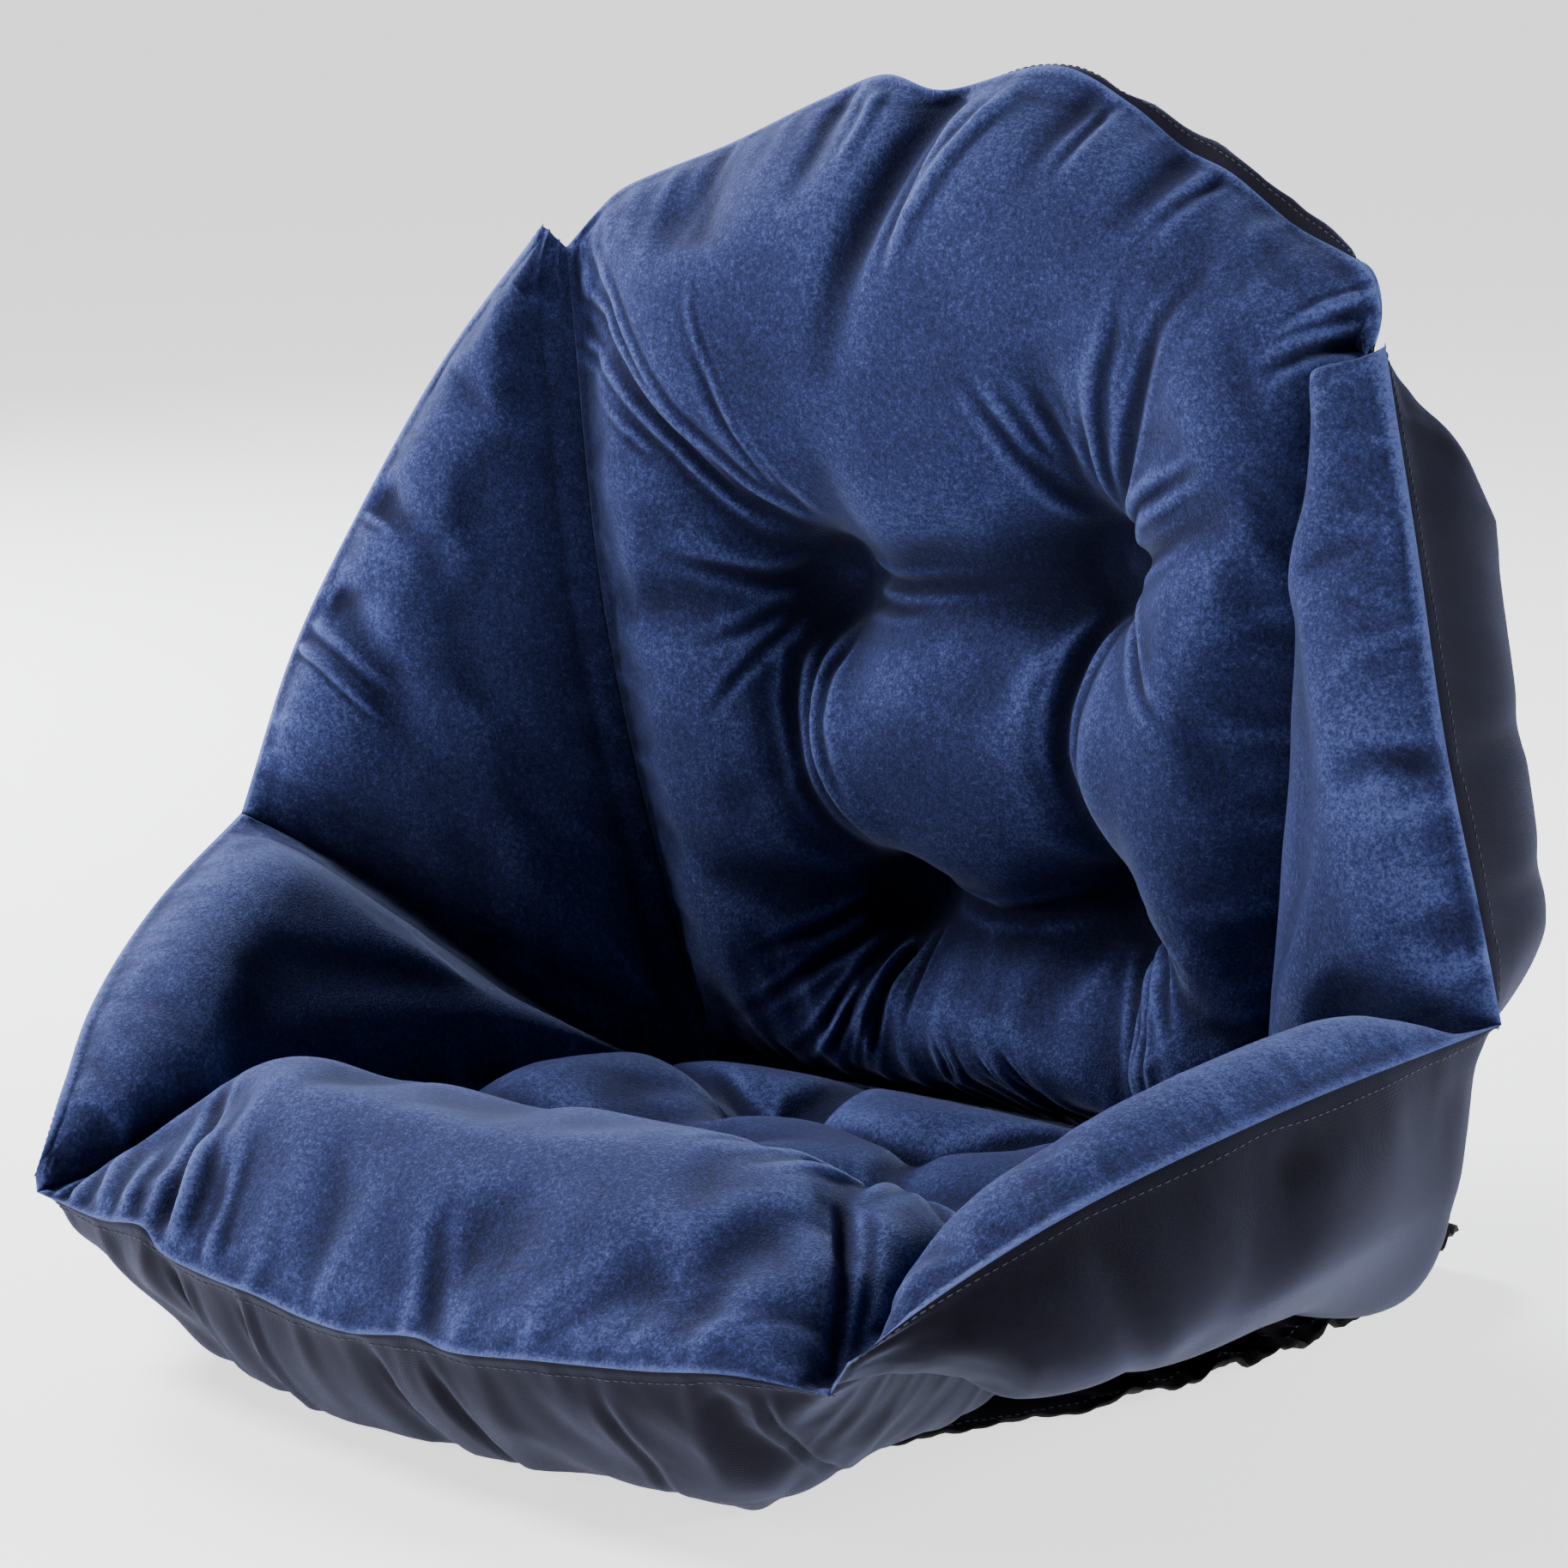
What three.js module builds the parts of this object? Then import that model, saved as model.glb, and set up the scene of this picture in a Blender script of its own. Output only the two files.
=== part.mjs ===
// Egg chair cushion: a one-piece seat and back cushion for a bucket-shaped chair.
// The cover is sewn as six filled pads that meet along shared seams. The back pad and
// the seat pad are tufted, and a pair of three-cornered wings at each side joins them
// into a shell that wraps round the sitter. A thin non-slip cloth lies under the seat.
// Each pad is a patch stretched between four seams, thickened to both sides.
// Millimetres, +X to the right seen from the front, +Y to the back, +Z up.
import * as THREE from 'three';

const at = (x, y, z) => new THREE.Vector3(x, y, z);

// Driving sizes
const SEAM_HALF_GAP = 0.15;
const CLOTH_THICKNESS = 2;
const CLOTH_GAP = 0.3;
const SEAT_REST_HEIGHT = CLOTH_THICKNESS + CLOTH_GAP;
const FULLNESS = 0.62;

// Corners where three or more seams meet
const CORNER = {
  foot_left: at(-165, 150, 46),
  foot_right: at(172, 152, 50),
  shoulder_left: at(-230, 104, 474),
  shoulder_right: at(231, 122, 456),
  ear_left: at(-239, 100, 480),
  ear_right: at(241, 115, 463),
  wing_tip_left: at(-350, -12, 190),
  wing_tip_right: at(350, 46, 188),
  front_left: at(-222, -276, 80),
  front_right: at(226, -266, 84),
  lip_left: at(-228, -273, 92),
  lip_right: at(232, -262, 97),
};

const seam = (...points) => new THREE.CatmullRomCurve3(points, false, 'centripetal');

// Seams, each from one corner to another through the points that give its curve
const SEAM = {
  foot: seam(
    CORNER.foot_left, at(-85, 192, 42), at(0, 206, 40), at(88, 194, 43), CORNER.foot_right,
  ),
  back_left: seam(CORNER.foot_left, at(-190, 132, 160), at(-212, 114, 300), CORNER.shoulder_left),
  back_right: seam(CORNER.foot_right, at(196, 134, 160), at(214, 118, 300), CORNER.shoulder_right),
  arch: seam(
    CORNER.shoulder_left, at(-210, 126, 506), at(-150, 146, 538), at(-70, 156, 562), at(0, 158, 566),
    at(72, 158, 562), at(156, 150, 534), at(220, 138, 492), CORNER.shoulder_right,
  ),
  front: seam(
    CORNER.front_left, at(-165, -288, 80), at(-60, -296, 66), at(40, -294, 66), at(150, -282, 80),
    CORNER.front_right,
  ),
  seat_left: seam(CORNER.front_left, at(-216, -170, 76), at(-192, 0, 62), CORNER.foot_left),
  seat_right: seam(CORNER.front_right, at(216, -170, 80), at(196, 0, 64), CORNER.foot_right),
  joint_left: seam(
    CORNER.wing_tip_left, at(-300, 30, 154), at(-240, 76, 94), at(-198, 112, 58), CORNER.foot_left,
  ),
  joint_right: seam(
    CORNER.foot_right, at(204, 124, 60), at(246, 98, 96), at(304, 68, 154), CORNER.wing_tip_right,
  ),
  ear_left: seam(CORNER.ear_left, CORNER.shoulder_left),
  ear_right: seam(CORNER.shoulder_right, CORNER.ear_right),
  back_rim_left: seam(
    CORNER.wing_tip_left, at(-338, 24, 270), at(-312, 50, 342), at(-278, 80, 420), CORNER.ear_left,
  ),
  back_rim_right: seam(
    CORNER.wing_tip_right, at(341, 42, 232), at(316, 50, 305), at(284, 76, 384), CORNER.ear_right,
  ),
  lip_left: seam(CORNER.lip_left, CORNER.front_left),
  lip_right: seam(CORNER.front_right, CORNER.lip_right),
  seat_rim_left: seam(
    CORNER.lip_left, at(-244, -240, 112), at(-274, -190, 136), at(-312, -106, 162), CORNER.wing_tip_left,
  ),
  seat_rim_right: seam(
    CORNER.lip_right, at(246, -228, 114), at(280, -184, 141), at(322, -92, 168), CORNER.wing_tip_right,
  ),
};

// Rows and columns of the pads' faces, equal on both sides of a shared seam
const GRID = { across_pad: 34, up_back: 32, along_seat: 28, across_wing: 9 };

// Places on a pad's face are read in plan: x with z on the back, x with y on the seat
const upright = (p) => new THREE.Vector2(p.x, p.z);
const level = (p) => new THREE.Vector2(p.x, p.y);

// A tuft pulls both faces together. left is the share of the thickness that stays.
const tuft = (x, y, reach, left) => ({ place: new THREE.Vector2(x, y), reach, left });

// A fold is a soft trough along a line, deepest at its start.
const fold = (depth, half_width, ...line) => ({
  depth, half_width, line: line.map(([x, y]) => new THREE.Vector2(x, y)),
});

// A swell is a soft mound on the inner face.
const swell = (x, y, across, along, height) => ({ place: new THREE.Vector2(x, y), across, along, height });

const BACK_TUFTS = [
  tuft(-88, 330, 40, 0.08),
  tuft(80, 350, 40, 0.08),
  tuft(-58, 156, 40, 0.08),
  tuft(85, 178, 40, 0.08),
];

const BACK_FOLDS = [
  fold(20, 14, [-88, 330], [-4, 334], [80, 350]),
  fold(20, 14, [-58, 156], [14, 160], [85, 178]),
  fold(18, 14, [-88, 330], [-106, 281], [-108, 216], [-90, 179], [-58, 156]),
  fold(18, 14, [80, 350], [76, 308], [70, 251], [80, 205], [85, 178]),
  fold(20, 14, [-88, 330], [-114, 351], [-175, 386], [-232, 436]),
  fold(14, 12, [-88, 330], [-150, 330], [-205, 306]),
  fold(16, 14, [80, 350], [70, 390], [52, 424], [8, 470]),
  fold(14, 12, [80, 350], [108, 392], [160, 450]),
  fold(16, 13, [80, 350], [140, 300], [190, 252]),
  fold(18, 14, [-58, 156], [-104, 92], [-150, 54]),
  fold(12, 12, [-58, 156], [-120, 150], [-176, 120]),
  fold(14, 12, [85, 178], [88, 120], [92, 60]),
  fold(16, 13, [85, 178], [140, 120], [176, 84]),
];

const SEAT_TUFTS = [
  tuft(-84, -86, 36, 0.34),
  tuft(80, -88, 36, 0.34),
  tuft(-66, 58, 34, 0.2),
  tuft(70, 58, 34, 0.2),
];

const SEAT_FOLDS = [
  fold(10, 13, [-84, -86], [0, -80], [80, -88]),
  fold(10, 13, [-66, 58], [0, 62], [70, 58]),
  fold(12, 13, [-84, -86], [-88, -14], [-66, 58]),
  fold(12, 13, [80, -88], [88, -14], [70, 58]),
  fold(16, 14, [80, -88], [150, -160], [216, -236]),
  fold(12, 13, [-84, -86], [-150, -70], [-200, -60]),
  fold(10, 13, [70, 58], [120, 70], [180, 90]),
  fold(10, 13, [-66, 58], [-120, 70], [-176, 90]),
];

// How steeply an inner face may leave a seam that it shares, as height over distance,
// so that two pads meet face to face in the valley between them and never cross
const LEAN = { free: 6, back_side: 1.8, seat_side: 1.5, foot: 0.77, joint_above: 0.78, joint_below: 0.88 };
const FREE = [LEAN.free, LEAN.free, LEAN.free, LEAN.free];

// Each pad: its four seams, the swell of its two faces, and how far from each seam a
// face needs to reach its full height, in the order left, right, near, far.
const PADS = [
  {
    name: 'back_pad', colour: 0x2c4a86, plan: upright,
    left: SEAM.back_left, right: SEAM.back_right, near: SEAM.foot, far: SEAM.arch,
    columns: GRID.across_pad, rows: GRID.up_back,
    inner: {
      height: 64, reach: [95, 95, 120, 110],
      lean: [LEAN.back_side, LEAN.back_side, LEAN.foot, LEAN.free],
    },
    outer: { height: 36, reach: [70, 70, 60, 70], lean: FREE },
    tufts: BACK_TUFTS, folds: BACK_FOLDS, swells: [],
    gathers: { side: 'far', count: 7, depth: 0.42, reach: 42 },
  },
  {
    name: 'back_wing_left', colour: 0x223a6c, plan: upright,
    left: SEAM.back_rim_left, right: SEAM.back_left, near: SEAM.joint_left, far: SEAM.ear_left,
    columns: GRID.across_wing, rows: GRID.up_back,
    inner: {
      height: 32, reach: [45, 80, 70, 70],
      lean: [LEAN.free, LEAN.back_side, LEAN.joint_above, LEAN.free],
    },
    outer: { height: 34, reach: [45, 70, 60, 70], lean: FREE },
    tufts: [], folds: [], swells: [],
  },
  {
    name: 'back_wing_right', colour: 0x2f4d88, plan: upright,
    left: SEAM.back_right, right: SEAM.back_rim_right, near: SEAM.joint_right, far: SEAM.ear_right,
    columns: GRID.across_wing, rows: GRID.up_back,
    inner: {
      height: 38, reach: [80, 45, 70, 70],
      lean: [LEAN.back_side, LEAN.free, LEAN.joint_above, LEAN.free],
    },
    outer: { height: 50, reach: [70, 45, 70, 70], lean: FREE },
    tufts: [], folds: [], swells: [],
  },
  {
    name: 'seat_pad', colour: 0x2c4a86, plan: level,
    left: SEAM.seat_left, right: SEAM.seat_right, near: SEAM.front, far: SEAM.foot,
    columns: GRID.across_pad, rows: GRID.along_seat,
    inner: {
      height: 40, reach: [90, 90, 60, 200],
      lean: [LEAN.seat_side, LEAN.seat_side, LEAN.free, LEAN.foot],
    },
    outer: { height: 84, reach: [130, 105, 135, 100], lean: FREE },
    tufts: SEAT_TUFTS, folds: SEAT_FOLDS,
    swells: [swell(-40, -190, 170, 62, 42), swell(90, -185, 110, 60, 20)],
    gathers: { side: 'near', count: 8, depth: 0.14, reach: 40 },
  },
  {
    name: 'seat_wing_left', colour: 0x2b4680, plan: level,
    left: SEAM.seat_rim_left, right: SEAM.seat_left, near: SEAM.lip_left, far: SEAM.joint_left,
    columns: GRID.across_wing, rows: GRID.along_seat,
    inner: {
      height: 38, reach: [50, 80, 150, 90],
      lean: [LEAN.free, LEAN.seat_side, LEAN.free, LEAN.joint_below],
    },
    outer: { height: 48, reach: [60, 80, 150, 80], lean: FREE },
    tufts: [], folds: [], swells: [],
  },
  {
    name: 'seat_wing_right', colour: 0x2b4680, plan: level,
    left: SEAM.seat_right, right: SEAM.seat_rim_right, near: SEAM.lip_right, far: SEAM.joint_right,
    columns: GRID.across_wing, rows: GRID.along_seat,
    inner: {
      height: 46, reach: [80, 50, 210, 80],
      lean: [LEAN.seat_side, LEAN.free, LEAN.free, LEAN.joint_below],
    },
    outer: { height: 58, reach: [80, 60, 150, 80], lean: FREE },
    tufts: [], folds: [], swells: [],
  },
];

// A point of the patch between four seams, by blending opposite seams
function patchPoint(pad, u, v) {
  const left = pad.left.getPointAt(v);
  const right = pad.right.getPointAt(v);
  const near = pad.near.getPointAt(u);
  const far = pad.far.getPointAt(u);
  const sides = left.clone().lerp(right, u);
  const ends = near.clone().lerp(far, v);
  const near_corners = pad.near.getPointAt(0).lerp(pad.near.getPointAt(1), u);
  const far_corners = pad.far.getPointAt(0).lerp(pad.far.getPointAt(1), u);
  return sides.add(ends).sub(near_corners.lerp(far_corners, v));
}

const STEP = 0.01;

// The patch's normal, towards the sitter
function patchNormal(pad, u, v) {
  const u0 = Math.max(u - STEP, 0);
  const u1 = Math.min(u + STEP, 1);
  const v0 = Math.max(v - STEP, 0);
  const v1 = Math.min(v + STEP, 1);
  const across = patchPoint(pad, u1, v).sub(patchPoint(pad, u0, v));
  const along = patchPoint(pad, u, v1).sub(patchPoint(pad, u, v0));
  return across.cross(along).normalize();
}

// Distances from a point of the patch to its left, right, near and far seams
function seamDistances(pad, u, v) {
  const width = pad.left.getPointAt(v).distanceTo(pad.right.getPointAt(v));
  const length = pad.near.getPointAt(u).distanceTo(pad.far.getPointAt(u));
  return [u * width, (1 - u) * width, v * length, (1 - v) * length];
}

// A face leaves its seam steeply and levels off at its reach
function rise(distance, reach) {
  const short = 1 - Math.min(distance / reach, 1);
  return (1 - short * short) ** FULLNESS;
}

// Share of its depth that a fold loses by its end, and the most of a face that it takes
const FOLD_FADE = 0.5;
const FOLD_LIMIT = 0.8;

// Depth of a fold at a place: a soft trough that fades along its line
function foldDepth({ depth, half_width, line }, place) {
  let deepest = 0;
  const pieces = line.length - 1;
  for (let i = 0; i < pieces; i += 1) {
    const run = line[i + 1].clone().sub(line[i]);
    const t = THREE.MathUtils.clamp(place.clone().sub(line[i]).dot(run) / run.lengthSq(), 0, 1);
    const off = place.distanceTo(line[i].clone().addScaledVector(run, t)) / half_width;
    const faded = 1 - FOLD_FADE * ((i + t) / pieces);
    deepest = Math.max(deepest, depth * faded * Math.exp(-off * off));
  }
  return deepest;
}

// Gathers along a seam are not evenly spaced
const GATHER_WANDER = { phase: 1.7, rate: 5 };

// Thickness of one face over the patch
function faceHeight(pad, face, u, v, place) {
  const distances = seamDistances(pad, u, v);
  const edge = distances.reduce((product, d, i) => product * rise(d, face.reach[i]), 1);
  let height = face.height;
  if (face === pad.inner) {
    for (const s of pad.swells) {
      const x = (place.x - s.place.x) / s.across;
      const y = (place.y - s.place.y) / s.along;
      height += s.height * Math.exp(-x * x - y * y);
    }
  }
  height *= edge;
  for (const t of pad.tufts) {
    height *= 1 - (1 - t.left) * Math.exp(-place.distanceTo(t.place) / t.reach);
  }
  if (face === pad.inner) {
    const troughs = pad.folds.map((f) => foldDepth(f, place));
    height -= Math.min(Math.max(0, ...troughs) * edge, height * FOLD_LIMIT);
  }
  if (pad.gathers) {
    const { side, count, depth, reach } = pad.gathers;
    const d = side === 'far' ? distances[3] : distances[2];
    const turn = 2 * Math.PI * count * u + GATHER_WANDER.phase * Math.sin(GATHER_WANDER.rate * u);
    const wave = 0.5 + 0.5 * Math.cos(turn);
    height *= 1 - depth * wave * Math.exp(-d / reach);
  }
  return Math.min(height, ...distances.map((d, i) => d * face.lean[i]));
}

// Rows stand a little closer towards the seams, where a face curves most
const CROWDING = 0.45;

function spread(i, count) {
  const t = i / count;
  return THREE.MathUtils.lerp(t, 0.5 - 0.5 * Math.cos(Math.PI * t), CROWDING);
}

// The share of a short edge that the gap at its end may take
const GAP_LIMIT = 0.1;

// A closed pad: an inner and an outer grid that share the ring of seams
function padGeometry(pad) {
  const { columns, rows } = pad;
  const positions = [];
  const index = [];
  const inner = [];
  const outer = [];
  const width = (v) => pad.left.getPointAt(v).distanceTo(pad.right.getPointAt(v));
  const length = (u) => pad.near.getPointAt(u).distanceTo(pad.far.getPointAt(u));
  const add = (p) => {
    positions.push(p.x, p.y, Math.max(p.z, SEAT_REST_HEIGHT));
    return positions.length / 3 - 1;
  };
  for (let j = 0; j <= rows; j += 1) {
    for (let i = 0; i <= columns; i += 1) {
      const s = spread(i, columns);
      const t = spread(j, rows);
      const eu = Math.min(SEAM_HALF_GAP / width(t), GAP_LIMIT);
      const ev = Math.min(SEAM_HALF_GAP / length(s), GAP_LIMIT);
      const u = THREE.MathUtils.lerp(eu, 1 - eu, s);
      const v = THREE.MathUtils.lerp(ev, 1 - ev, t);
      const middle = patchPoint(pad, u, v);
      const on_seam = i === 0 || j === 0 || i === columns || j === rows;
      if (on_seam) {
        const k = add(middle);
        inner.push(k);
        outer.push(k);
        continue;
      }
      const normal = patchNormal(pad, u, v);
      const place = pad.plan(middle);
      const front = faceHeight(pad, pad.inner, u, v, place);
      const back = faceHeight(pad, pad.outer, u, v, place);
      inner.push(add(middle.clone().addScaledVector(normal, front)));
      outer.push(add(middle.clone().addScaledVector(normal, -back)));
    }
  }
  const stride = columns + 1;
  for (let j = 0; j < rows; j += 1) {
    for (let i = 0; i < columns; i += 1) {
      const a = j * stride + i;
      const b = a + 1;
      const c = a + stride;
      const d = c + 1;
      index.push(inner[a], inner[b], inner[d], inner[a], inner[d], inner[c]);
      index.push(outer[a], outer[d], outer[b], outer[a], outer[c], outer[d]);
    }
  }
  const geometry = new THREE.BufferGeometry();
  geometry.setAttribute('position', new THREE.Float32BufferAttribute(positions, 3));
  geometry.setIndex(index);
  return geometry;
}

// The base cloth lies flat under the seat pad. Past the pad its loose margin rises in
// shallow crinkles. Rows run from front to back, with the half width of each.
const BASE_ROWS = [
  { y: -205, half: 100 },
  { y: -140, half: 142 },
  { y: -75, half: 170 },
  { y: -10, half: 208 },
  { y: 55, half: 230 },
  { y: 120, half: 240 },
  { y: 190, half: 240 },
  { y: 234, half: 222 },
];
const BASE = {
  colour: 0x1a1718, columns: 20, rows: 18, flat_half: 176, flat_back: 190, margin: 50,
  lift: 18, crinkle: 3.5, crinkle_pitch: 44,
};

// Height of the base cloth's underside over the surface
function baseLift(x, y, half) {
  const aside = THREE.MathUtils.clamp((Math.abs(x) - BASE.flat_half) / BASE.margin, 0, 1);
  const behind = THREE.MathUtils.clamp((y - BASE.flat_back) / BASE.margin, 0, 1);
  const out = Math.min(Math.hypot(aside, behind), 1);
  const turn = (x + y) * 2 * Math.PI / BASE.crinkle_pitch;
  return BASE.lift * out * out + BASE.crinkle * out * (1 + Math.sin(turn));
}

function baseGeometry() {
  const outline = seam(...BASE_ROWS.map(({ y, half }) => at(half, y, 0)));
  const { columns, rows } = BASE;
  const positions = [];
  const index = [];
  for (let j = 0; j <= rows; j += 1) {
    const { x: half, y } = outline.getPoint(j / rows);
    for (let i = 0; i <= columns; i += 1) {
      const x = half * (2 * i / columns - 1);
      const z = baseLift(x, y, half);
      positions.push(x, y, z, x, y, z + CLOTH_THICKNESS);
    }
  }
  const under = (i, j) => 2 * (j * (columns + 1) + i);
  const quad = (a, b, c, d) => index.push(a, b, c, a, c, d);
  for (let j = 0; j < rows; j += 1) {
    for (let i = 0; i < columns; i += 1) {
      quad(under(i, j), under(i, j + 1), under(i + 1, j + 1), under(i + 1, j));
      quad(under(i, j) + 1, under(i + 1, j) + 1, under(i + 1, j + 1) + 1, under(i, j + 1) + 1);
    }
  }
  for (let i = 0; i < columns; i += 1) {
    quad(under(i, 0), under(i + 1, 0), under(i + 1, 0) + 1, under(i, 0) + 1);
    quad(under(i + 1, rows), under(i, rows), under(i, rows) + 1, under(i + 1, rows) + 1);
  }
  for (let j = 0; j < rows; j += 1) {
    quad(under(0, j + 1), under(0, j), under(0, j) + 1, under(0, j + 1) + 1);
    quad(under(columns, j), under(columns, j + 1), under(columns, j + 1) + 1, under(columns, j) + 1);
  }
  const geometry = new THREE.BufferGeometry();
  geometry.setAttribute('position', new THREE.Float32BufferAttribute(positions, 3));
  geometry.setIndex(index);
  return geometry;
}

const cushion = new THREE.Group();

function addPiece(name, geometry, color) {
  const material = new THREE.MeshStandardMaterial({ color, roughness: 0.9, metalness: 0 });
  const mesh = new THREE.Mesh(geometry, material);
  mesh.name = name;
  cushion.add(mesh);
}

for (const pad of PADS) addPiece(pad.name, padGeometry(pad), pad.colour);
addPiece('base_cloth', baseGeometry(), BASE.colour);

// The origin is the middle of the cushion's box, on the surface that it rests on
const bounds = new THREE.Box3().setFromObject(cushion);
const middle = bounds.getCenter(new THREE.Vector3());
for (const mesh of cushion.children) mesh.geometry.translate(-middle.x, -middle.y, -bounds.min.z);

export default cushion;
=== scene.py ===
# %% [markdown]
# # Egg chair cushion
# A one-piece cushion for a bucket-shaped chair. Six filled pads meet along shared seams:
# a tufted seat, a tufted back with an arched top, and two three-cornered wings on each
# side. The side towards the sitter is velvet, the other side a plain slate-blue cloth,
# and a thin black non-slip cloth lies under the seat.
#
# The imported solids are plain. This lesson replaces each of them with a finer piece that
# has real folds, pile and weave, in the same place and at the same size.

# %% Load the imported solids
import math

import bpy
import numpy as np
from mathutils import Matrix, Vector


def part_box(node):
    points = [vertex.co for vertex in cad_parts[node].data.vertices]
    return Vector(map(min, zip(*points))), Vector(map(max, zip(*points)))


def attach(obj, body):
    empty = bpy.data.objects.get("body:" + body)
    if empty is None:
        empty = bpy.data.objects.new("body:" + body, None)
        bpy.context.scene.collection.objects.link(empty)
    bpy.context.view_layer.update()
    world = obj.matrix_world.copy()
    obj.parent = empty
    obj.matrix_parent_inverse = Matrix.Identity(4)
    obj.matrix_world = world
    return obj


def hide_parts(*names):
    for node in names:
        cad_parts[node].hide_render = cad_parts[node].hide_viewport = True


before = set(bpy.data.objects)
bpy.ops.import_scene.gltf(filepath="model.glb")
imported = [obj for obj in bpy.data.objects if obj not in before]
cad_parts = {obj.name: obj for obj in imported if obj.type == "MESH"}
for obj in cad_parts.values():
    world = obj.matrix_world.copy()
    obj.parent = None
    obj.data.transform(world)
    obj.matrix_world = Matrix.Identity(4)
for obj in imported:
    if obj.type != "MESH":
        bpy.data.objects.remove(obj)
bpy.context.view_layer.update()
print("solids:", sorted(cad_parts))

# %% [markdown]
# ## Camera
# The cushion is looked at from its right front corner, from a little above the seat. A
# long lens keeps the near corner from growing. The camera is placed by an angle round the
# cushion, a height angle and a distance, so each of them can be read and changed alone.

# %% Place the camera
MM = 0.001
AZIMUTH = math.radians(38)
ELEVATION = math.radians(13)
DISTANCE = 2.0
TARGET = Vector((14, 7.1, 259)) * MM


def add_object(name, data):
    thing = bpy.data.objects.new(name, data)
    bpy.context.scene.collection.objects.link(thing)
    return thing


camera_data = bpy.data.cameras.new("camera")
camera_data.lens = 100
camera_data.sensor_width = 36
camera = add_object("camera", camera_data)
towards_camera = Vector((
    math.sin(AZIMUTH) * math.cos(ELEVATION),
    -math.cos(AZIMUTH) * math.cos(ELEVATION),
    math.sin(ELEVATION),
))
camera.location = TARGET + DISTANCE * towards_camera
camera.rotation_euler = towards_camera.to_track_quat("Z", "Y").to_euler()
bpy.context.scene.camera = camera
print("camera at", [round(x, 3) for x in camera.location])

# %% [markdown]
# ## Light and floor
# A high key at the left grazes the inside of the left wing, which stays dark. A low window
# beside it rakes across the folds, a light behind on that side edges the rims, and a wider
# one on the right keeps the reverse from going black. The floor is a plain pale sheet
# that glows, so that it comes out as light as the paper sweep of a studio.

# %% Set the lights
def add_area_light(name, position, size, watts, colour):
    data = bpy.data.lights.new(name, "AREA")
    data.shape = "DISK"
    data.size = size
    data.energy = watts
    data.color = colour
    light = add_object(name, data)
    light.location = position
    aim = Vector(position) - TARGET
    light.rotation_euler = aim.to_track_quat("Z", "Y").to_euler()


add_area_light("key", (-1.7, -0.7, 2.1), 0.8, 94, (0.98, 0.98, 1.0))
add_area_light("window", (-1.7, -1.85, 0.95), 0.8, 29, (1.0, 0.97, 0.98))
add_area_light("behind", (-2.2, 0.67, 1.48), 0.8, 98, (0.93, 0.97, 1.0))
add_area_light("right", (2.2, 1.2, 0.95), 1.0, 80, (0.86, 0.9, 1.0))


def set_inputs(node, values):
    """Gives each input a plain value, or links another node's output to it."""
    for label, value in values.items():
        if isinstance(value, bpy.types.NodeSocket):
            node.id_data.links.new(value, node.inputs[label])
        else:
            node.inputs[label].default_value = value


world = bpy.data.worlds.new("pale room")
world.use_nodes = True
sky = world.node_tree.nodes["Background"]
set_inputs(sky, {"Color": (1.0, 0.97, 0.94, 1), "Strength": 0.08})
bpy.context.scene.world = world

# %% Lay the floor
FLOOR_HALF = 30.0
FLOOR_GLOW = 1.5


def new_material(name):
    material = bpy.data.materials.new(name)
    material.use_nodes = True
    return material, material.node_tree, material.node_tree.nodes["Principled BSDF"]


floor_mesh = bpy.data.meshes.new("floor")
floor_mesh.from_pydata(
    [(x * FLOOR_HALF, y * FLOOR_HALF, 0) for x, y in ((-1, -1), (1, -1), (1, 1), (-1, 1))],
    [], [(0, 1, 2, 3)],
)
floor = add_object("floor", floor_mesh)
floor_paint, _, floor_shader = new_material("pale floor")
set_inputs(floor_shader, {
    "Base Color": (0.9, 0.9, 0.9, 1), "Roughness": 0.9,
    "Emission Color": (1, 1, 1, 1), "Emission Strength": FLOOR_GLOW,
})
floor_mesh.materials.append(floor_paint)
print("floor is", 2 * FLOOR_HALF, "m wide")

# %% [markdown]
# ## Seams
# The cover is drawn by its seams, as a maker's pattern is. Every seam runs from one
# corner to another through a few points that give its curve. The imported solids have
# nearly the same seams, so the finer pieces land in the same place. Sizes are millimetres,
# with X to the right, Y to the back and Z up, from the middle of the flat underside.

# %% Corners where the pads meet
CORNERS = {
    "foot_left": (-165, 150, 46), "foot_right": (172, 152, 50),
    "shoulder_left": (-226, 105, 479), "shoulder_right": (231, 122, 456),
    "ear_left": (-235, 97, 490), "ear_right": (247, 107, 466),
    "wing_tip_left": (-350, -12, 190), "wing_tip_right": (350, 46, 188),
    "front_left": (-222, -276, 80), "front_right": (226, -266, 84),
    "lip_left": (-226, -273, 87), "lip_right": (232, -262, 97),
}

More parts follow.
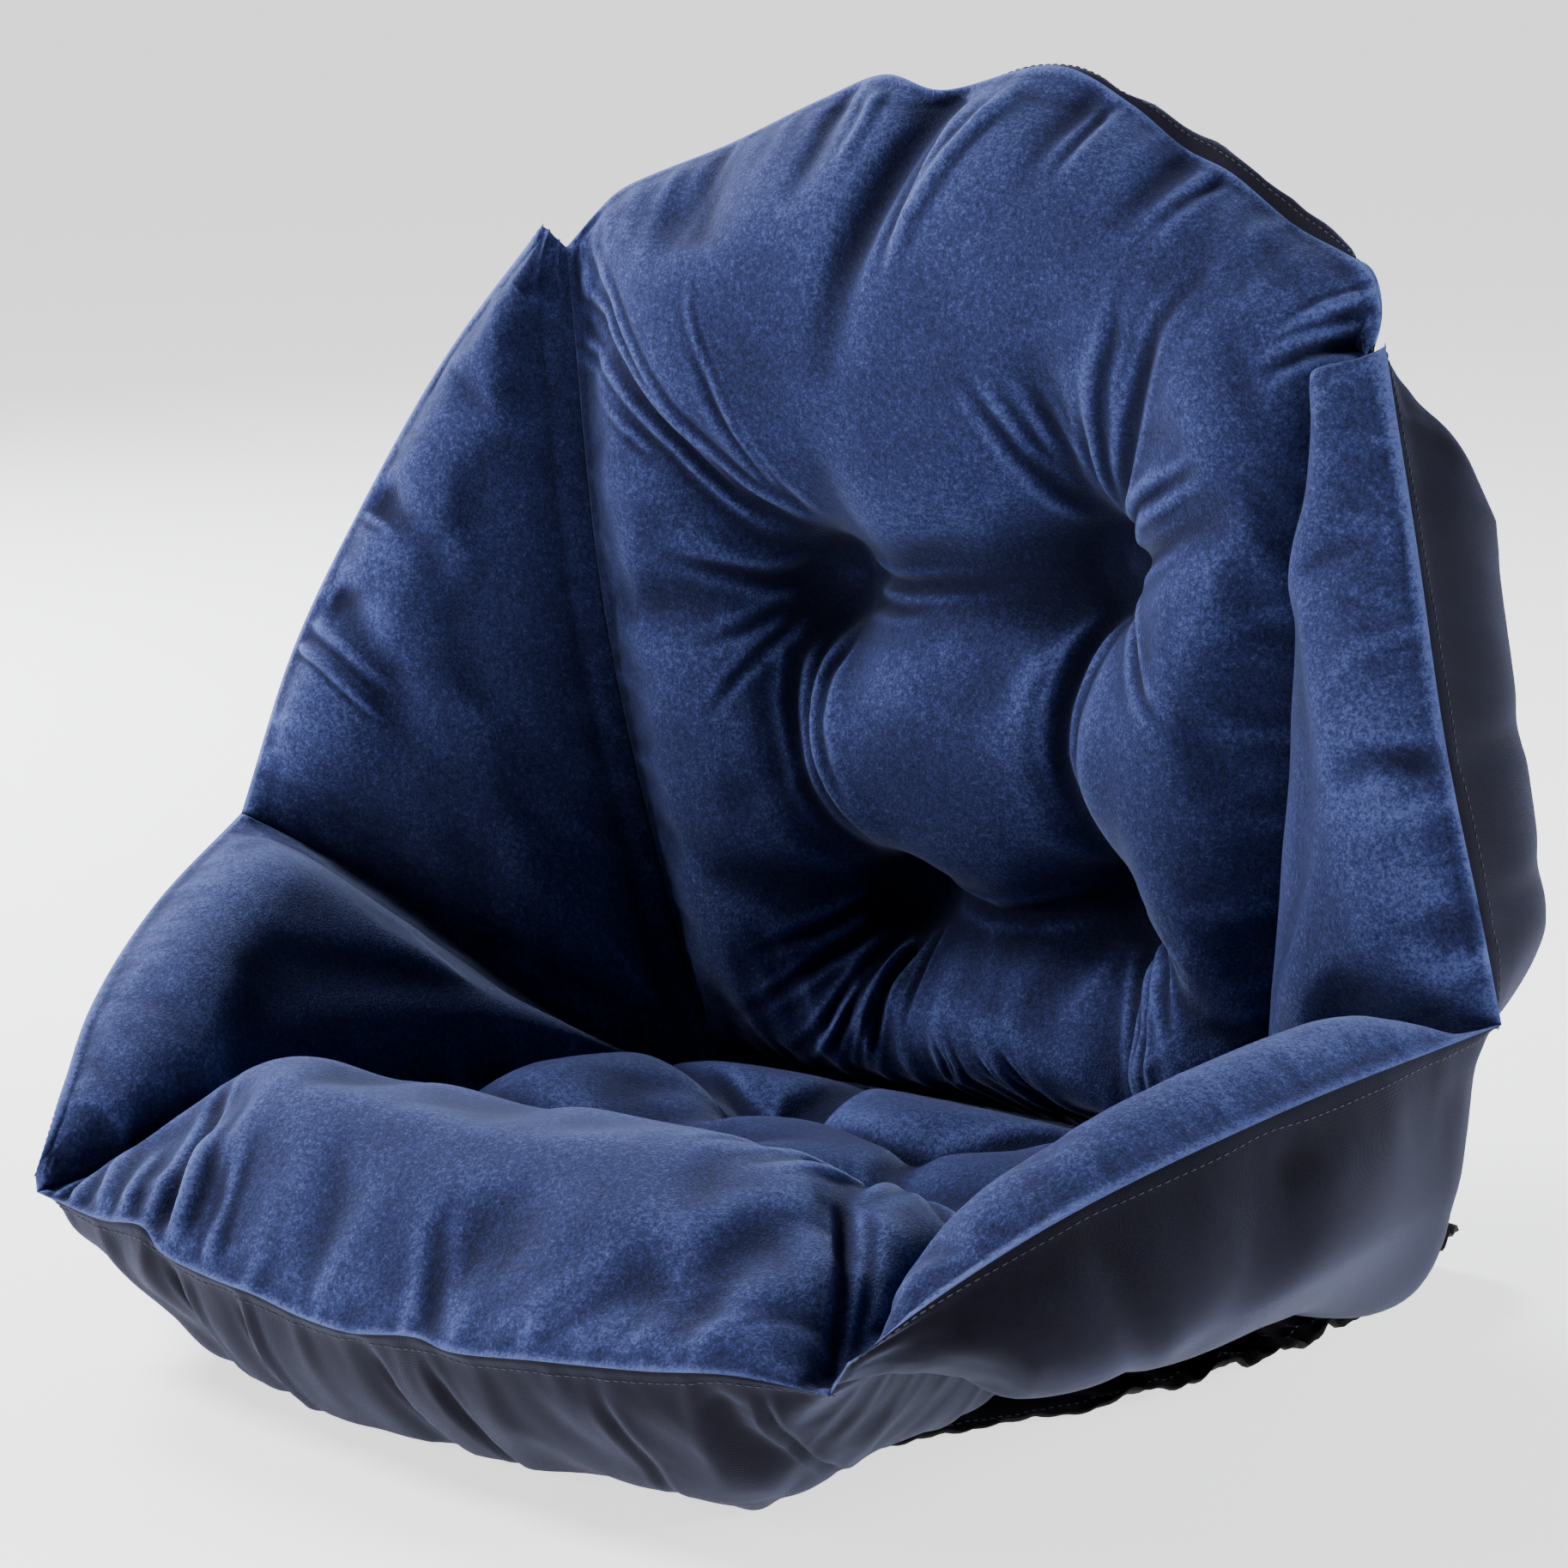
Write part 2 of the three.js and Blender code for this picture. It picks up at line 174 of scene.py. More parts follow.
# %% Seams from corner to corner
SEAMS = {
    "foot": ("foot_left", (-85, 192, 42), (0, 206, 40), (88, 194, 43), "foot_right"),
    "back_left": ("foot_left", (-190, 132, 160), (-212, 114, 300), "shoulder_left"),
    "back_right": ("foot_right", (196, 134, 160), (214, 118, 300), "shoulder_right"),
    "arch": (
        "shoulder_left", (-210, 126, 505), (-150, 146, 533), (-100, 153, 556), (-64, 156, 569),
        (-30, 154, 563), (36, 158, 577), (78, 157, 561), (110, 155, 542), (137, 151, 533),
        (176, 146, 511), (207, 139, 501), (226, 131, 495), (235, 124, 476), "shoulder_right",
    ),
    "front": (
        "front_left", (-173, -283, 79), (-141, -287, 83), (-129, -289, 75), (-98, -290, 70),
        (-68, -292, 69), (-38, -294, 66), (-8, -295, 66), (20, -294, 71), (34, -296, 73),
        (48, -296, 71), (95, -294, 77), (150, -290, 84), (192, -284, 90), "front_right",
    ),
    "seat_left": ("front_left", (-216, -170, 76), (-192, 0, 62), "foot_left"),
    "seat_right": ("front_right", (216, -170, 80), (196, 0, 64), "foot_right"),
    "joint_left": (
        "wing_tip_left", (-300, 30, 154), (-240, 76, 94), (-198, 112, 58), "foot_left",
    ),
    "joint_right": (
        "foot_right", (204, 124, 60), (246, 98, 96), (304, 68, 154), "wing_tip_right",
    ),
    "ear_left": ("ear_left", "shoulder_left"),
    "ear_right": ("shoulder_right", "ear_right"),
    "back_rim_left": (
        "wing_tip_left", (-343, 22, 272), (-317, 47, 345), (-283, 77, 423), "ear_left",
    ),
    "back_rim_right": (
        "wing_tip_right", (341, 42, 232), (316, 50, 305), (284, 76, 384), "ear_right",
    ),
    "lip_left": ("lip_left", "front_left"),
    "lip_right": ("front_right", "lip_right"),
    "seat_rim_left": (
        "lip_left", (-244, -240, 112), (-276, -190, 138), (-318, -106, 165), "wing_tip_left",
    ),
    "seat_rim_right": (
        "lip_right", (246, -228, 116), (280, -184, 147), (322, -92, 176), "wing_tip_right",
    ),
}

# %% [markdown]
# A centripetal spline passes through all its points without loops, which suits a seam.
# Each seam becomes a function of the share of its length, from 0 to 1.

# %% Turn a row of points into a smooth seam
SAMPLES_PER_RUN = 60


def smooth_seam(points):
    knots = np.array([CORNERS[p] if isinstance(p, str) else p for p in points], float)
    knots = np.vstack([2 * knots[0] - knots[1], knots, 2 * knots[-1] - knots[-2]])
    t = np.linspace(0, 1, SAMPLES_PER_RUN)[:, None]
    runs = []
    for a, b, c, d in zip(knots, knots[1:], knots[2:], knots[3:]):
        ab, bc, cd = (np.linalg.norm(q - p) ** 0.5 for p, q in ((a, b), (b, c), (c, d)))
        leave = ((b - a) / ab - (c - a) / (ab + bc) + (c - b) / bc) * bc
        arrive = ((c - b) / bc - (d - b) / (bc + cd) + (d - c) / cd) * bc
        runs.append(
            (2 * t**3 - 3 * t**2 + 1) * b + (t**3 - 2 * t**2 + t) * leave
            + (3 * t**2 - 2 * t**3) * c + (t**3 - t**2) * arrive
        )
    line = np.vstack(runs)
    steps = np.linalg.norm(np.diff(line, axis=0), axis=1)
    share = np.concatenate([[0], np.cumsum(steps)]) / steps.sum()
    return lambda s: np.stack([np.interp(s, share, line[:, k]) for k in range(3)], axis=-1)


seam_curves = {name: smooth_seam(points) for name, points in SEAMS.items()}
print(len(seam_curves), "seams")

# %% [markdown]
# ## Pads
# Each pad is a patch stretched between four seams and thickened to both sides. For each
# face the table gives its full height, how far from each seam it reaches that height, and
# how steeply it may leave that seam, in the order left, right, near and far. Shared seams
# are the less steep ones, which keeps two pads face to face in the valley between them.

# %% The six pads
FREE_LEAN = 6
FREE = (FREE_LEAN,) * 4
FRONT_VIEW = (0, 2)
TOP_VIEW = (0, 1)

PADS = {
    "back_pad": {
        "seams": ("back_left", "back_right", "foot", "arch"), "view": FRONT_VIEW,
        "inner": {"height": 69, "reach": (95, 85, 75, 105), "lean": (5.0, 3.0, 1.5, 6)},
        "outer": {"height": 34, "reach": (80, 90, 60, 75), "lean": FREE},
    },
    "back_wing_left": {
        "seams": ("back_rim_left", "back_left", "joint_left", "ear_left"), "view": FRONT_VIEW,
        "inner": {"height": 32, "reach": (45, 80, 70, 18), "lean": (6, 1.15, 0.78, 6)},
        "outer": {"height": 34, "reach": (45, 70, 60, 70), "lean": FREE},
    },
    "back_wing_right": {
        "seams": ("back_right", "back_rim_right", "joint_right", "ear_right"), "view": FRONT_VIEW,
        "inner": {
            "height": 38, "reach": (70, 45, 70, 9), "lean": (2.6, 6, 0.78, 6), "end_height": 1.35,
        },
        "outer": {"height": 60, "reach": (70, 45, 70, 50), "lean": FREE},
    },
    "seat_pad": {
        "seams": ("seat_left", "seat_right", "front", "foot"), "view": TOP_VIEW,
        "inner": {"height": 36, "reach": (90, 90, 60, 130), "lean": (1.5, 1.5, 6, 0.35)},
        "outer": {"height": 86, "reach": (74, 92, 92, 100), "lean": FREE},
    },
    "seat_wing_left": {
        "seams": ("seat_rim_left", "seat_left", "lip_left", "joint_left"), "view": TOP_VIEW,
        "inner": {"height": 38, "reach": (50, 80, 150, 90), "lean": (6, 1.5, 6, 0.88)},
        "outer": {"height": 48, "reach": (60, 80, 150, 80), "lean": FREE},
    },
    "seat_wing_right": {
        "seams": ("seat_right", "seat_rim_right", "lip_right", "joint_right"), "view": TOP_VIEW,
        "inner": {"height": 38, "reach": (80, 34, 210, 80), "lean": (1.5, 6, 6, 0.88)},
        "outer": {"height": 60, "reach": (80, 60, 230, 34), "lean": FREE},
    },
}

# %% [markdown]
# A tuft is a thread through the pad that pulls both faces together, so that only a share
# of the height is left. On this cushion it has no button, and it shows as a deep pit. A
# swell is a soft mound of filling, such as the bolster at the front of the seat. A dent is
# where the reverse is pulled flat, and one of less than nothing is a bulge. A roll is
# where the reverse comes over the top edge, so that a strip of it shows in front.

# %% Tufts, swells, dents and rolls
def with_columns(columns, tables):
    """Gives every row of some tables the same column names."""
    return {name: [dict(zip(columns, row)) for row in rows] for name, rows in tables.items()}


TUFTS = with_columns(("at", "reach", "left"), {
    "back_pad": (
        ((-92, 317), 37, 0.05),
        ((80, 343), 37, 0.05),
        ((-58, 156), 37, 0.05),
        ((85, 178), 37, 0.05),
    ),
    "seat_pad": (
        ((-66, -80), 34, 0.4),
        ((100, -68), 26, 0.5),
        ((-48, 48), 28, 0.25),
        ((50, 38), 26, 0.25),
    ),
})
SWELLS = with_columns(("at", "half_size", "height"), {
    "seat_pad": (
        ((-40, -185), (175, 62), 42),
        ((110, -180), (80, 60), 10),
    ),
})
DENTS = with_columns(("at", "half_size", "height"), {
    "back_pad": (((200, 480), (75, 80), 16),),
    "seat_wing_right": (
        ((340, 24), (38, 56), 32),
        ((256, 84), (36, 50), -16),
    ),
})
ROLLS = with_columns(("at", "spread", "height", "reach"), {
    "back_pad": (
        (0.53, 0.06, 7, 8),
        (0.74, 0.16, 14, 8),
    ),
})
print(sum(len(tufts) for tufts in TUFTS.values()), "tufts")

# %% [markdown]
# ## Folds
# Where filling bulges between two tufts, the cloth sinks into a broad valley. A crease is
# a sharp line in the cloth, with a small lip of velvet on each side, and a pleat is a
# narrow raised fold, which has a depth below zero. Each is a short line in the pad's own
# view: X and Z on the back, X and Y on the seat. It fades towards its last point. The
# lines were read off the photographed cushion and rounded to whole millimetres.

# %% Valleys between tufts, broad and soft
VALLEY = ("depth", "half_width", "fade", "line")

VALLEYS = with_columns(VALLEY, {
    "back_pad": (
        (19, 26, 0.1, ((-92, 317), (-4, 330), (80, 343))),
        (18, 24, 0.1, ((-58, 156), (14, 162), (85, 178))),
        (7, 15, 0.1, ((-92, 317), (-103, 280), (-98, 235), (-58, 156))),
        (11, 15, 0.1, ((80, 343), (77, 308), (77, 250), (85, 178))),
        (11, 20, 0.6, ((-92, 317), (-130, 362), (-170, 400), (-205, 440))),
        (9, 18, 0.8, ((-92, 317), (-140, 316), (-190, 302))),
        (14, 20, 0.9, ((80, 343), (78, 400), (66, 455))),
        (12, 18, 0.9, ((80, 343), (112, 400), (140, 455))),
        (12, 18, 0.7, ((80, 343), (140, 365), (200, 395))),
        (9, 20, 0.7, ((-58, 156), (-104, 118), (-150, 76))),
        (7, 16, 0.9, ((-58, 156), (-110, 170), (-170, 184))),
        (14, 18, 0.5, ((85, 178), (100, 130), (120, 80))),
        (14, 18, 0.6, ((85, 178), (140, 160), (180, 130))),
        (17, 12, 0.9, ((-22, 570), (-24, 547), (-32, 515), (-42, 480), (-52, 440))),
        (9, 9, 1.0, ((60, 568), (56, 545), (54, 515))),
        (11, 9, 1.0, ((118, 550), (116, 530), (108, 500))),
        (24, 9, 0.9, ((246, 474), (230, 467), (214, 456))),
        (8, 8, 1.0, ((-84, 562), (-80, 537), (-84, 505))),
        (6, 9, 1.0, ((-150, 545), (-146, 515), (-138, 485))),
    ),
    "seat_pad": (
        (6, 18, 0.3, ((-66, -80), (10, -74), (100, -68))),
        (14, 12, 0.1, ((-48, 48), (0, 40), (50, 38))),
        (8, 18, 0.3, ((-66, -80), (-62, -14), (-48, 48))),
        (6, 12, 0.5, ((50, 38), (80, -20), (100, -68))),
        (14, 10, 0.4, ((50, 38), (70, 68), (90, 106))),
        (5, 12, 0.2, ((100, -68), (122, -108), (150, -160), (168, -186))),
        (5, 9, 0.1, ((158, -172), (177, -190), (194, -212), (220, -256))),
        (10, 18, 0.6, ((-66, -80), (-130, -66), (-190, -56))),
        (10, 16, 0.6, ((-48, 48), (-110, 66), (-170, 90))),
        (14, 12, 0.3, ((-48, 48), (-50, 90), (-56, 140))),
    ),
    "back_wing_left": (
        (8, 9, 0.9, ((-322, 296), (-300, 262), (-290, 232))),
        (6, 9, 0.9, ((-304, 348), (-284, 330), (-270, 300))),
    ),
    "back_wing_right": (
        (8, 8, 0.9, ((316, 300), (300, 296), (284, 280))),
        (6, 10, 0.9, ((342, 236), (322, 226), (300, 200))),
    ),
})
SLATE_VALLEYS = with_columns(VALLEY, {
    "seat_pad": (
        (9, 10, 0.7, ((-132, -292), (-122, -262), (-110, -225))),
        (8, 9, 0.7, ((-92, -294), (-84, -262), (-80, -230))),
        (7, 8, 0.7, ((-10, -296), (-2, -265), (6, -236))),
        (6, 9, 0.7, ((40, -294), (34, -262), (30, -230))),
        (9, 10, 0.5, ((178, -276), (184, -245), (178, -200))),
    ),
    "seat_wing_right": (
        (10, 17, 0.8, ((318, -96), (292, -100), (268, -112))),
        (6, 9, 0.8, ((286, -176), (262, -150), (240, -130))),
    ),
    "back_wing_right": (
        (9, 9, 0.8, ((318, 298), (300, 300), (280, 306))),
        (8, 9, 0.8, ((343, 232), (320, 236), (296, 246))),
    ),
    "back_pad": (
        (5, 24, 0.3, ((-92, 317), (-4, 334), (80, 343))),
        (5, 24, 0.3, ((-58, 156), (14, 160), (85, 178))),
        (5, 22, 0.3, ((-92, 317), (-98, 281), (-96, 230), (-58, 156))),
        (5, 22, 0.3, ((80, 343), (82, 308), (84, 251), (85, 178))),
        (6, 18, 0.8, ((-92, 317), (-140, 400), (-190, 450))),
        (6, 18, 0.8, ((80, 343), (130, 410), (180, 450))),
    ),
})

# %% [markdown]
# ## The patch between four seams
# A Coons patch blends opposite seams, so its border is exactly the four seams. It could
# also be a lofted surface, but the patch needs only a few lines and gives each point two
# shares, across and along, that later carry the weave and the folds.

# %% Points and seam distances of a patch
def patch_point(seams, u, v):
    left, right, near, far = (seam_curves[name] for name in seams)
    across = u[..., None]
    along = v[..., None]
    sides = left(v) * (1 - across) + right(v) * across
    ends = near(u) * (1 - along) + far(u) * along
    near_line = near(0.0) * (1 - across) + near(1.0) * across
    far_line = far(0.0) * (1 - across) + far(1.0) * across
    return sides + ends - near_line * (1 - along) - far_line * along


def seam_distances(seams, u, v):
    left, right, near, far = (seam_curves[name] for name in seams)
    width = np.linalg.norm(left(v) - right(v), axis=-1)
    length = np.linalg.norm(near(u) - far(u), axis=-1)
    return [u * width, (1 - u) * width, v * length, (1 - v) * length]


# %% [markdown]
# Two pads that share a seam use the same rows along it, so their borders meet at every row
# and no light comes through between them. Inside its border the patch is relaxed, as a
# soap film is, so that a small kink of a seam dies out close to that seam.

# %% The grid of one pad
ROWS = {"across_pad": 104, "up_back": 120, "along_seat": 116, "across_wing": 40}
CROWDING = 0.45
RELAXING = 150


def blurred(field, passes):
    """Evens a grid out with its neighbours, and leaves its border alone."""
    for _ in range(passes):
        smooth = field.copy()
        smooth[1:-1, 1:-1] = (
            field[1:-1, 1:-1] * 2 + field[:-2, 1:-1] + field[2:, 1:-1]
            + field[1:-1, :-2] + field[1:-1, 2:]
        ) / 6
        field = smooth
    return field


def surface_normal(points):
    normal = np.cross(np.gradient(points, axis=1), np.gradient(points, axis=0))
    return normal / np.maximum(np.linalg.norm(normal, axis=-1, keepdims=True), 1e-9)


def crowded(count):
    t = np.linspace(0, 1, count + 1)
    return t + CROWDING * (0.5 - 0.5 * np.cos(np.pi * t) - t)


def lay_out(name):
    pad = PADS[name]
    columns = ROWS["across_pad"] if name.endswith("pad") else ROWS["across_wing"]
    rows = ROWS["up_back"] if name.startswith("back") else ROWS["along_seat"]
    u, v = np.meshgrid(crowded(columns), crowded(rows))
    middle = blurred(patch_point(pad["seams"], u, v), RELAXING)
    return {
        "name": name, "u": u, "v": v, "middle": middle, "normal": surface_normal(middle),
        "distances": seam_distances(pad["seams"], u, v),
        "place": middle[..., list(pad["view"])],
    }


layouts = {name: lay_out(name) for name in PADS}
print({name: grid["u"].shape for name, grid in layouts.items()})

# %% [markdown]
# ## The height of a face
# A face leaves its seam steeply and levels off, like any stuffed edge. Tufts and valleys
# then take their share of that height.

# %% Measure how far a place is from a line
def along_line(place, line):
    """Distance from a line of points, and the share travelled along it."""
    line = np.array(line, float)
    best = np.full(place.shape[:-1], np.inf)
    share = np.zeros(place.shape[:-1])
    for i, (start, end) in enumerate(zip(line, line[1:])):
        run = end - start
        t = np.clip((place - start) @ run / (run @ run), 0, 1)
        distance = np.linalg.norm(place - start - t[..., None] * run, axis=-1)
        nearer = distance < best
        best = np.where(nearer, distance, best)
        share = np.where(nearer, (i + t) / (len(line) - 1), share)
    return best, share


# %% The plump shape of each face
FULLNESS = 0.62
END_REACH = 0.5
END_HEIGHT = 0.8
VALLEY_LIMIT = 0.8
VALLEY_CLEARANCE = 8
LEAN_BLEND = 9.0
REVERSE_LEFT = 0.65
PUFF_ROOM = {"pad": 4.0, "wing": 2.0}
PUFF_ROOM_FROM = 18


def kind_of(name):
    return "pad" if name.endswith("pad") else "wing"


def nearest_seam(grid):
    return np.min(grid["distances"], axis=0)


def distance_to(tuft, place):
    return np.linalg.norm(place - np.array(tuft["at"]), axis=-1)


def rise(distance, reach):
    short = 1 - np.minimum(distance / np.maximum(reach, 1e-6), 1)
    return (1 - short**2) ** FULLNESS


def lean_limit(grid, height, face):
    """Keeps a face below the slopes it may have beside its seams, with a rounded change."""
    slopes = zip(grid["distances"], face["lean"])
    limit = np.min([distance * lean for distance, lean in slopes], axis=0)
    blend = np.minimum(LEAN_BLEND, limit * 0.5)
    return 0.5 * (height + limit - np.sqrt((height - limit) ** 2 + blend**2))


def mounds(place, rows):
    height = np.zeros(place.shape[:-1])
    for row in rows:
        offset = (place - np.array(row["at"])) / np.array(row["half_size"])
        height = height + row["height"] * np.exp(-(offset**2).sum(axis=-1))
    return height


def sunk_valleys(place, rows):
    """Depths that meet are blended, so that crossing valleys leave no edge."""
    fourth = np.zeros(place.shape[:-1])
    for row in rows:
        distance, share = along_line(place, row["line"])
        depth = row["depth"] * (1 - row["fade"] * share)
        fourth = fourth + (depth * np.exp(-((distance / row["half_width"]) ** 2))) ** 4
    return fourth**0.25


def plump_height(grid, face_name):
    name = grid["name"]
    face = PADS[name][face_name]
    place = grid["place"]
    left, right, near, far = grid["distances"]
    spans = (left + right, left + right, near + far, near + far)
    edge = np.ones_like(grid["u"])
    for distance, reach, span in zip(grid["distances"], face["reach"], spans):
        edge = edge * rise(distance, np.minimum(reach, span * END_REACH))
    height = np.minimum(face["height"], spans[0] * face.get("end_height", END_HEIGHT))
    if face_name == "inner":
        height = (height + mounds(place, SWELLS.get(name, ()))) * edge
    else:
        height = (height - mounds(place, DENTS.get(name, ()))) * edge
    for tuft in TUFTS.get(name, ()):
        kept = tuft["left"] if face_name == "inner" else max(tuft["left"], REVERSE_LEFT)
        pull = np.exp(-distance_to(tuft, place) / tuft["reach"])
        height = height * (1 - (1 - kept) * pull)
    valleys = VALLEYS if face_name == "inner" else SLATE_VALLEYS
    sunk = sunk_valleys(place, valleys.get(name, ()))
    clear = np.clip(nearest_seam(grid) / VALLEY_CLEARANCE, 0, 1)
    height = height - np.minimum(sunk * clear, height * VALLEY_LIMIT)
    height = height - PUFF_ROOM[kind_of(name)] * (1 - np.exp(-height / PUFF_ROOM_FROM))
    return lean_limit(grid, height, face)


# %% [markdown]
# ## Cloth
# Stuffed cloth is always a little larger than the shape it covers, so it puffs out
# between the tufts and gathers along the seams. Blender's cloth finds these folds by
# itself: the pad's mesh is held along its seams and at its tufts, its cloth is cut a few
# per cent too large, and a pressure inside blows it up for less than a second. How far a
# point may move is capped, so the pad keeps its size.

# %% Join the two faces of a pad into one closed sheet
def quads(index):
    corners = (index[:-1, :-1], index[:-1, 1:], index[1:, 1:], index[1:, :-1])
    return np.stack([c.ravel() for c in corners], axis=1)


def close_pad(inner, outer):
    """Vertices and quads of two grids of one size that share their border."""
    rows, columns = inner.shape[:2]
    ring = np.zeros((rows, columns), bool)
    ring[[0, -1]] = True
    ring[:, [0, -1]] = True
    inner_index = np.arange(rows * columns).reshape(rows, columns)
    outer_index = inner_index.copy()
    outer_index[~ring] = rows * columns + np.arange((~ring).sum())
    points = np.vstack([inner.reshape(-1, 3), outer[~ring]])
    faces = np.vstack([quads(inner_index), quads(outer_index)[:, ::-1]])
    return points, faces, inner_index, outer_index, ring


# %% Puff a pad up with cloth and pressure
FRAMES = 16
PRESSURE = 1.6
SPARE_CLOTH = 0.05
MOVE_CAP = {"pad": 8.0, "wing": 4.0}
HOLD_SOFT = 0.06
HOLD_BESIDE_SEAM = 3.0
HOLD_ROUND_TUFT = 7.0
BLUR_PASSES = 10
OPEN_WRINKLES = 0.08
SEAM_WRINKLES = 0.24
WRINKLE_REACH = 14.0


def near_tufts(grid, reach):
    near = np.zeros_like(grid["u"])
    for tuft in TUFTS.get(grid["name"], ()):
        share = distance_to(tuft, grid["place"]) / reach
        near = np.maximum(near, np.exp(-(share**2)))
    return near


def puff(grid, inner, outer):
    """Both faces after the cloth has settled. Wrinkles stay mostly at seams and tufts."""
    points, faces, inner_index, outer_index, ring = close_pad(inner, outer)
    mesh = bpy.data.meshes.new("puffing")
    mesh.from_pydata((points * MM).tolist(), [], faces.tolist())
    body = add_object("puffing", mesh)

    hold = np.full(len(points), HOLD_SOFT)
    beside_seam = np.exp(-nearest_seam(grid) / HOLD_BESIDE_SEAM)
    held = np.clip(np.maximum(beside_seam, near_tufts(grid, HOLD_ROUND_TUFT)), HOLD_SOFT, 1)
    hold[inner_index] = held
    hold[outer_index] = held
    hold[inner_index[ring]] = 1.0
    group = body.vertex_groups.new(name="held")
    levels = np.round(hold, 2)
    for level in np.unique(levels):
        group.add(np.flatnonzero(levels == level).tolist(), float(level), "REPLACE")

    cloth = body.modifiers.new("cloth", "CLOTH")
    cloth.settings.quality = 5
    cloth.settings.mass = 0.3
    cloth.settings.tension_stiffness = 12
    cloth.settings.compression_stiffness = 12
    cloth.settings.shear_stiffness = 5
    cloth.settings.bending_stiffness = 0.3
    cloth.settings.use_pressure = True
    cloth.settings.uniform_pressure_force = PRESSURE
    cloth.settings.shrink_min = -SPARE_CLOTH
    cloth.settings.vertex_group_mass = "held"
    cloth.settings.pin_stiffness = 1.0
    cloth.settings.effector_weights.gravity = 0
    cloth.point_cache.frame_start = 1
    cloth.point_cache.frame_end = FRAMES
    for step in range(1, FRAMES + 1):
        bpy.context.scene.frame_set(step)
    evaluated = body.evaluated_get(bpy.context.evaluated_depsgraph_get())
    puffed = np.zeros(len(points) * 3)
    evaluated.to_mesh().vertices.foreach_get("co", puffed)
    evaluated.to_mesh_clear()
    bpy.data.objects.remove(body)
    bpy.data.meshes.remove(mesh)
    bpy.context.scene.frame_set(1)

    move = puffed.reshape(-1, 3) / MM - points
    size = np.linalg.norm(move, axis=1, keepdims=True)
    cap = MOVE_CAP[kind_of(grid["name"])]
    move *= np.minimum(1, cap / np.maximum(size, 1e-6))
    print(grid["name"], "moved up to", round(float(size.max()), 1), "mm, capped at", cap)
    gathered = OPEN_WRINKLES + (SEAM_WRINKLES - OPEN_WRINKLES) * np.maximum(
        np.exp(-nearest_seam(grid) / WRINKLE_REACH), near_tufts(grid, WRINKLE_REACH),
    )
    faces_moved = []
    for start, index in ((inner, inner_index), (outer, outer_index)):
        whole = move[index]
        soft = blurred(whole, BLUR_PASSES)
        faces_moved.append(start + soft + gathered[..., None] * (whole - soft))
    return faces_moved


# %% [markdown]
# After the cloth has settled, each pad is set against its neighbours and the surface it
# rests on: no point rises past the slope it may have beside a shared seam, and none sinks
# into the base cloth.

# %% Set a pad against its neighbours and the floor
CLOTH_THICKNESS = 2
CLOTH_GAP = 0.3
SEAT_REST_HEIGHT = CLOTH_THICKNESS + CLOTH_GAP
SIGN = {"inner": 1, "outer": -1}


def settle(grid, points, face_name):
    sign = SIGN[face_name]
    face = PADS[grid["name"]][face_name]
    height = sign * ((points - grid["middle"]) * grid["normal"]).sum(axis=-1)
    over = height - lean_limit(grid, height, face)
    points = points - (sign * over)[..., None] * grid["normal"]
    points[..., 2] = np.maximum(points[..., 2], SEAT_REST_HEIGHT)
    return points


# %% Make the plump pads
plump = {}
for name, grid in layouts.items():
    inner_height = plump_height(grid, "inner")
    outer_height = plump_height(grid, "outer")
    inner = grid["middle"] + grid["normal"] * inner_height[..., None]
    outer = grid["middle"] - grid["normal"] * outer_height[..., None]
    inner, outer = puff(grid, inner, outer)
    plump[name] = {"inner": settle(grid, inner, "inner"), "outer": settle(grid, outer, "outer")}

# %% [markdown]
# ## Fine folds
# A crease is only a few millimetres wide, so a face that shows creases gets two or three
# times as many rows before they are carved.

# %% Add rows to a grid
def refined(field, times):
    """Adds rows and columns between the old ones, on a cubic through four neighbours."""
    for axis in (0, 1):
        rows = np.moveaxis(field, axis, 0)
        padded = np.concatenate([2 * rows[:1] - rows[1:2], rows, 2 * rows[-1:] - rows[-2:-1]])
        before, start, end, after = padded[:-3], padded[1:-2], padded[2:-1], padded[3:]
        fine = np.empty((times * (len(rows) - 1) + 1,) + rows.shape[1:])
        fine[-1] = rows[-1]
        for step in range(times):
            f = step / times
            fine[step:-1:times] = (
                f * (f - 1) * (2 - f) * before + 3 * (f + 1) * (f - 1) * (f - 2) * start
                + 3 * (f + 1) * f * (2 - f) * end + (f + 1) * f * (f - 1) * after
            ) / 6
        field = np.moveaxis(fine, 0, axis)
    return field


# %% The creases and pleats that show most
CREASE = ("depth", "width", "line")

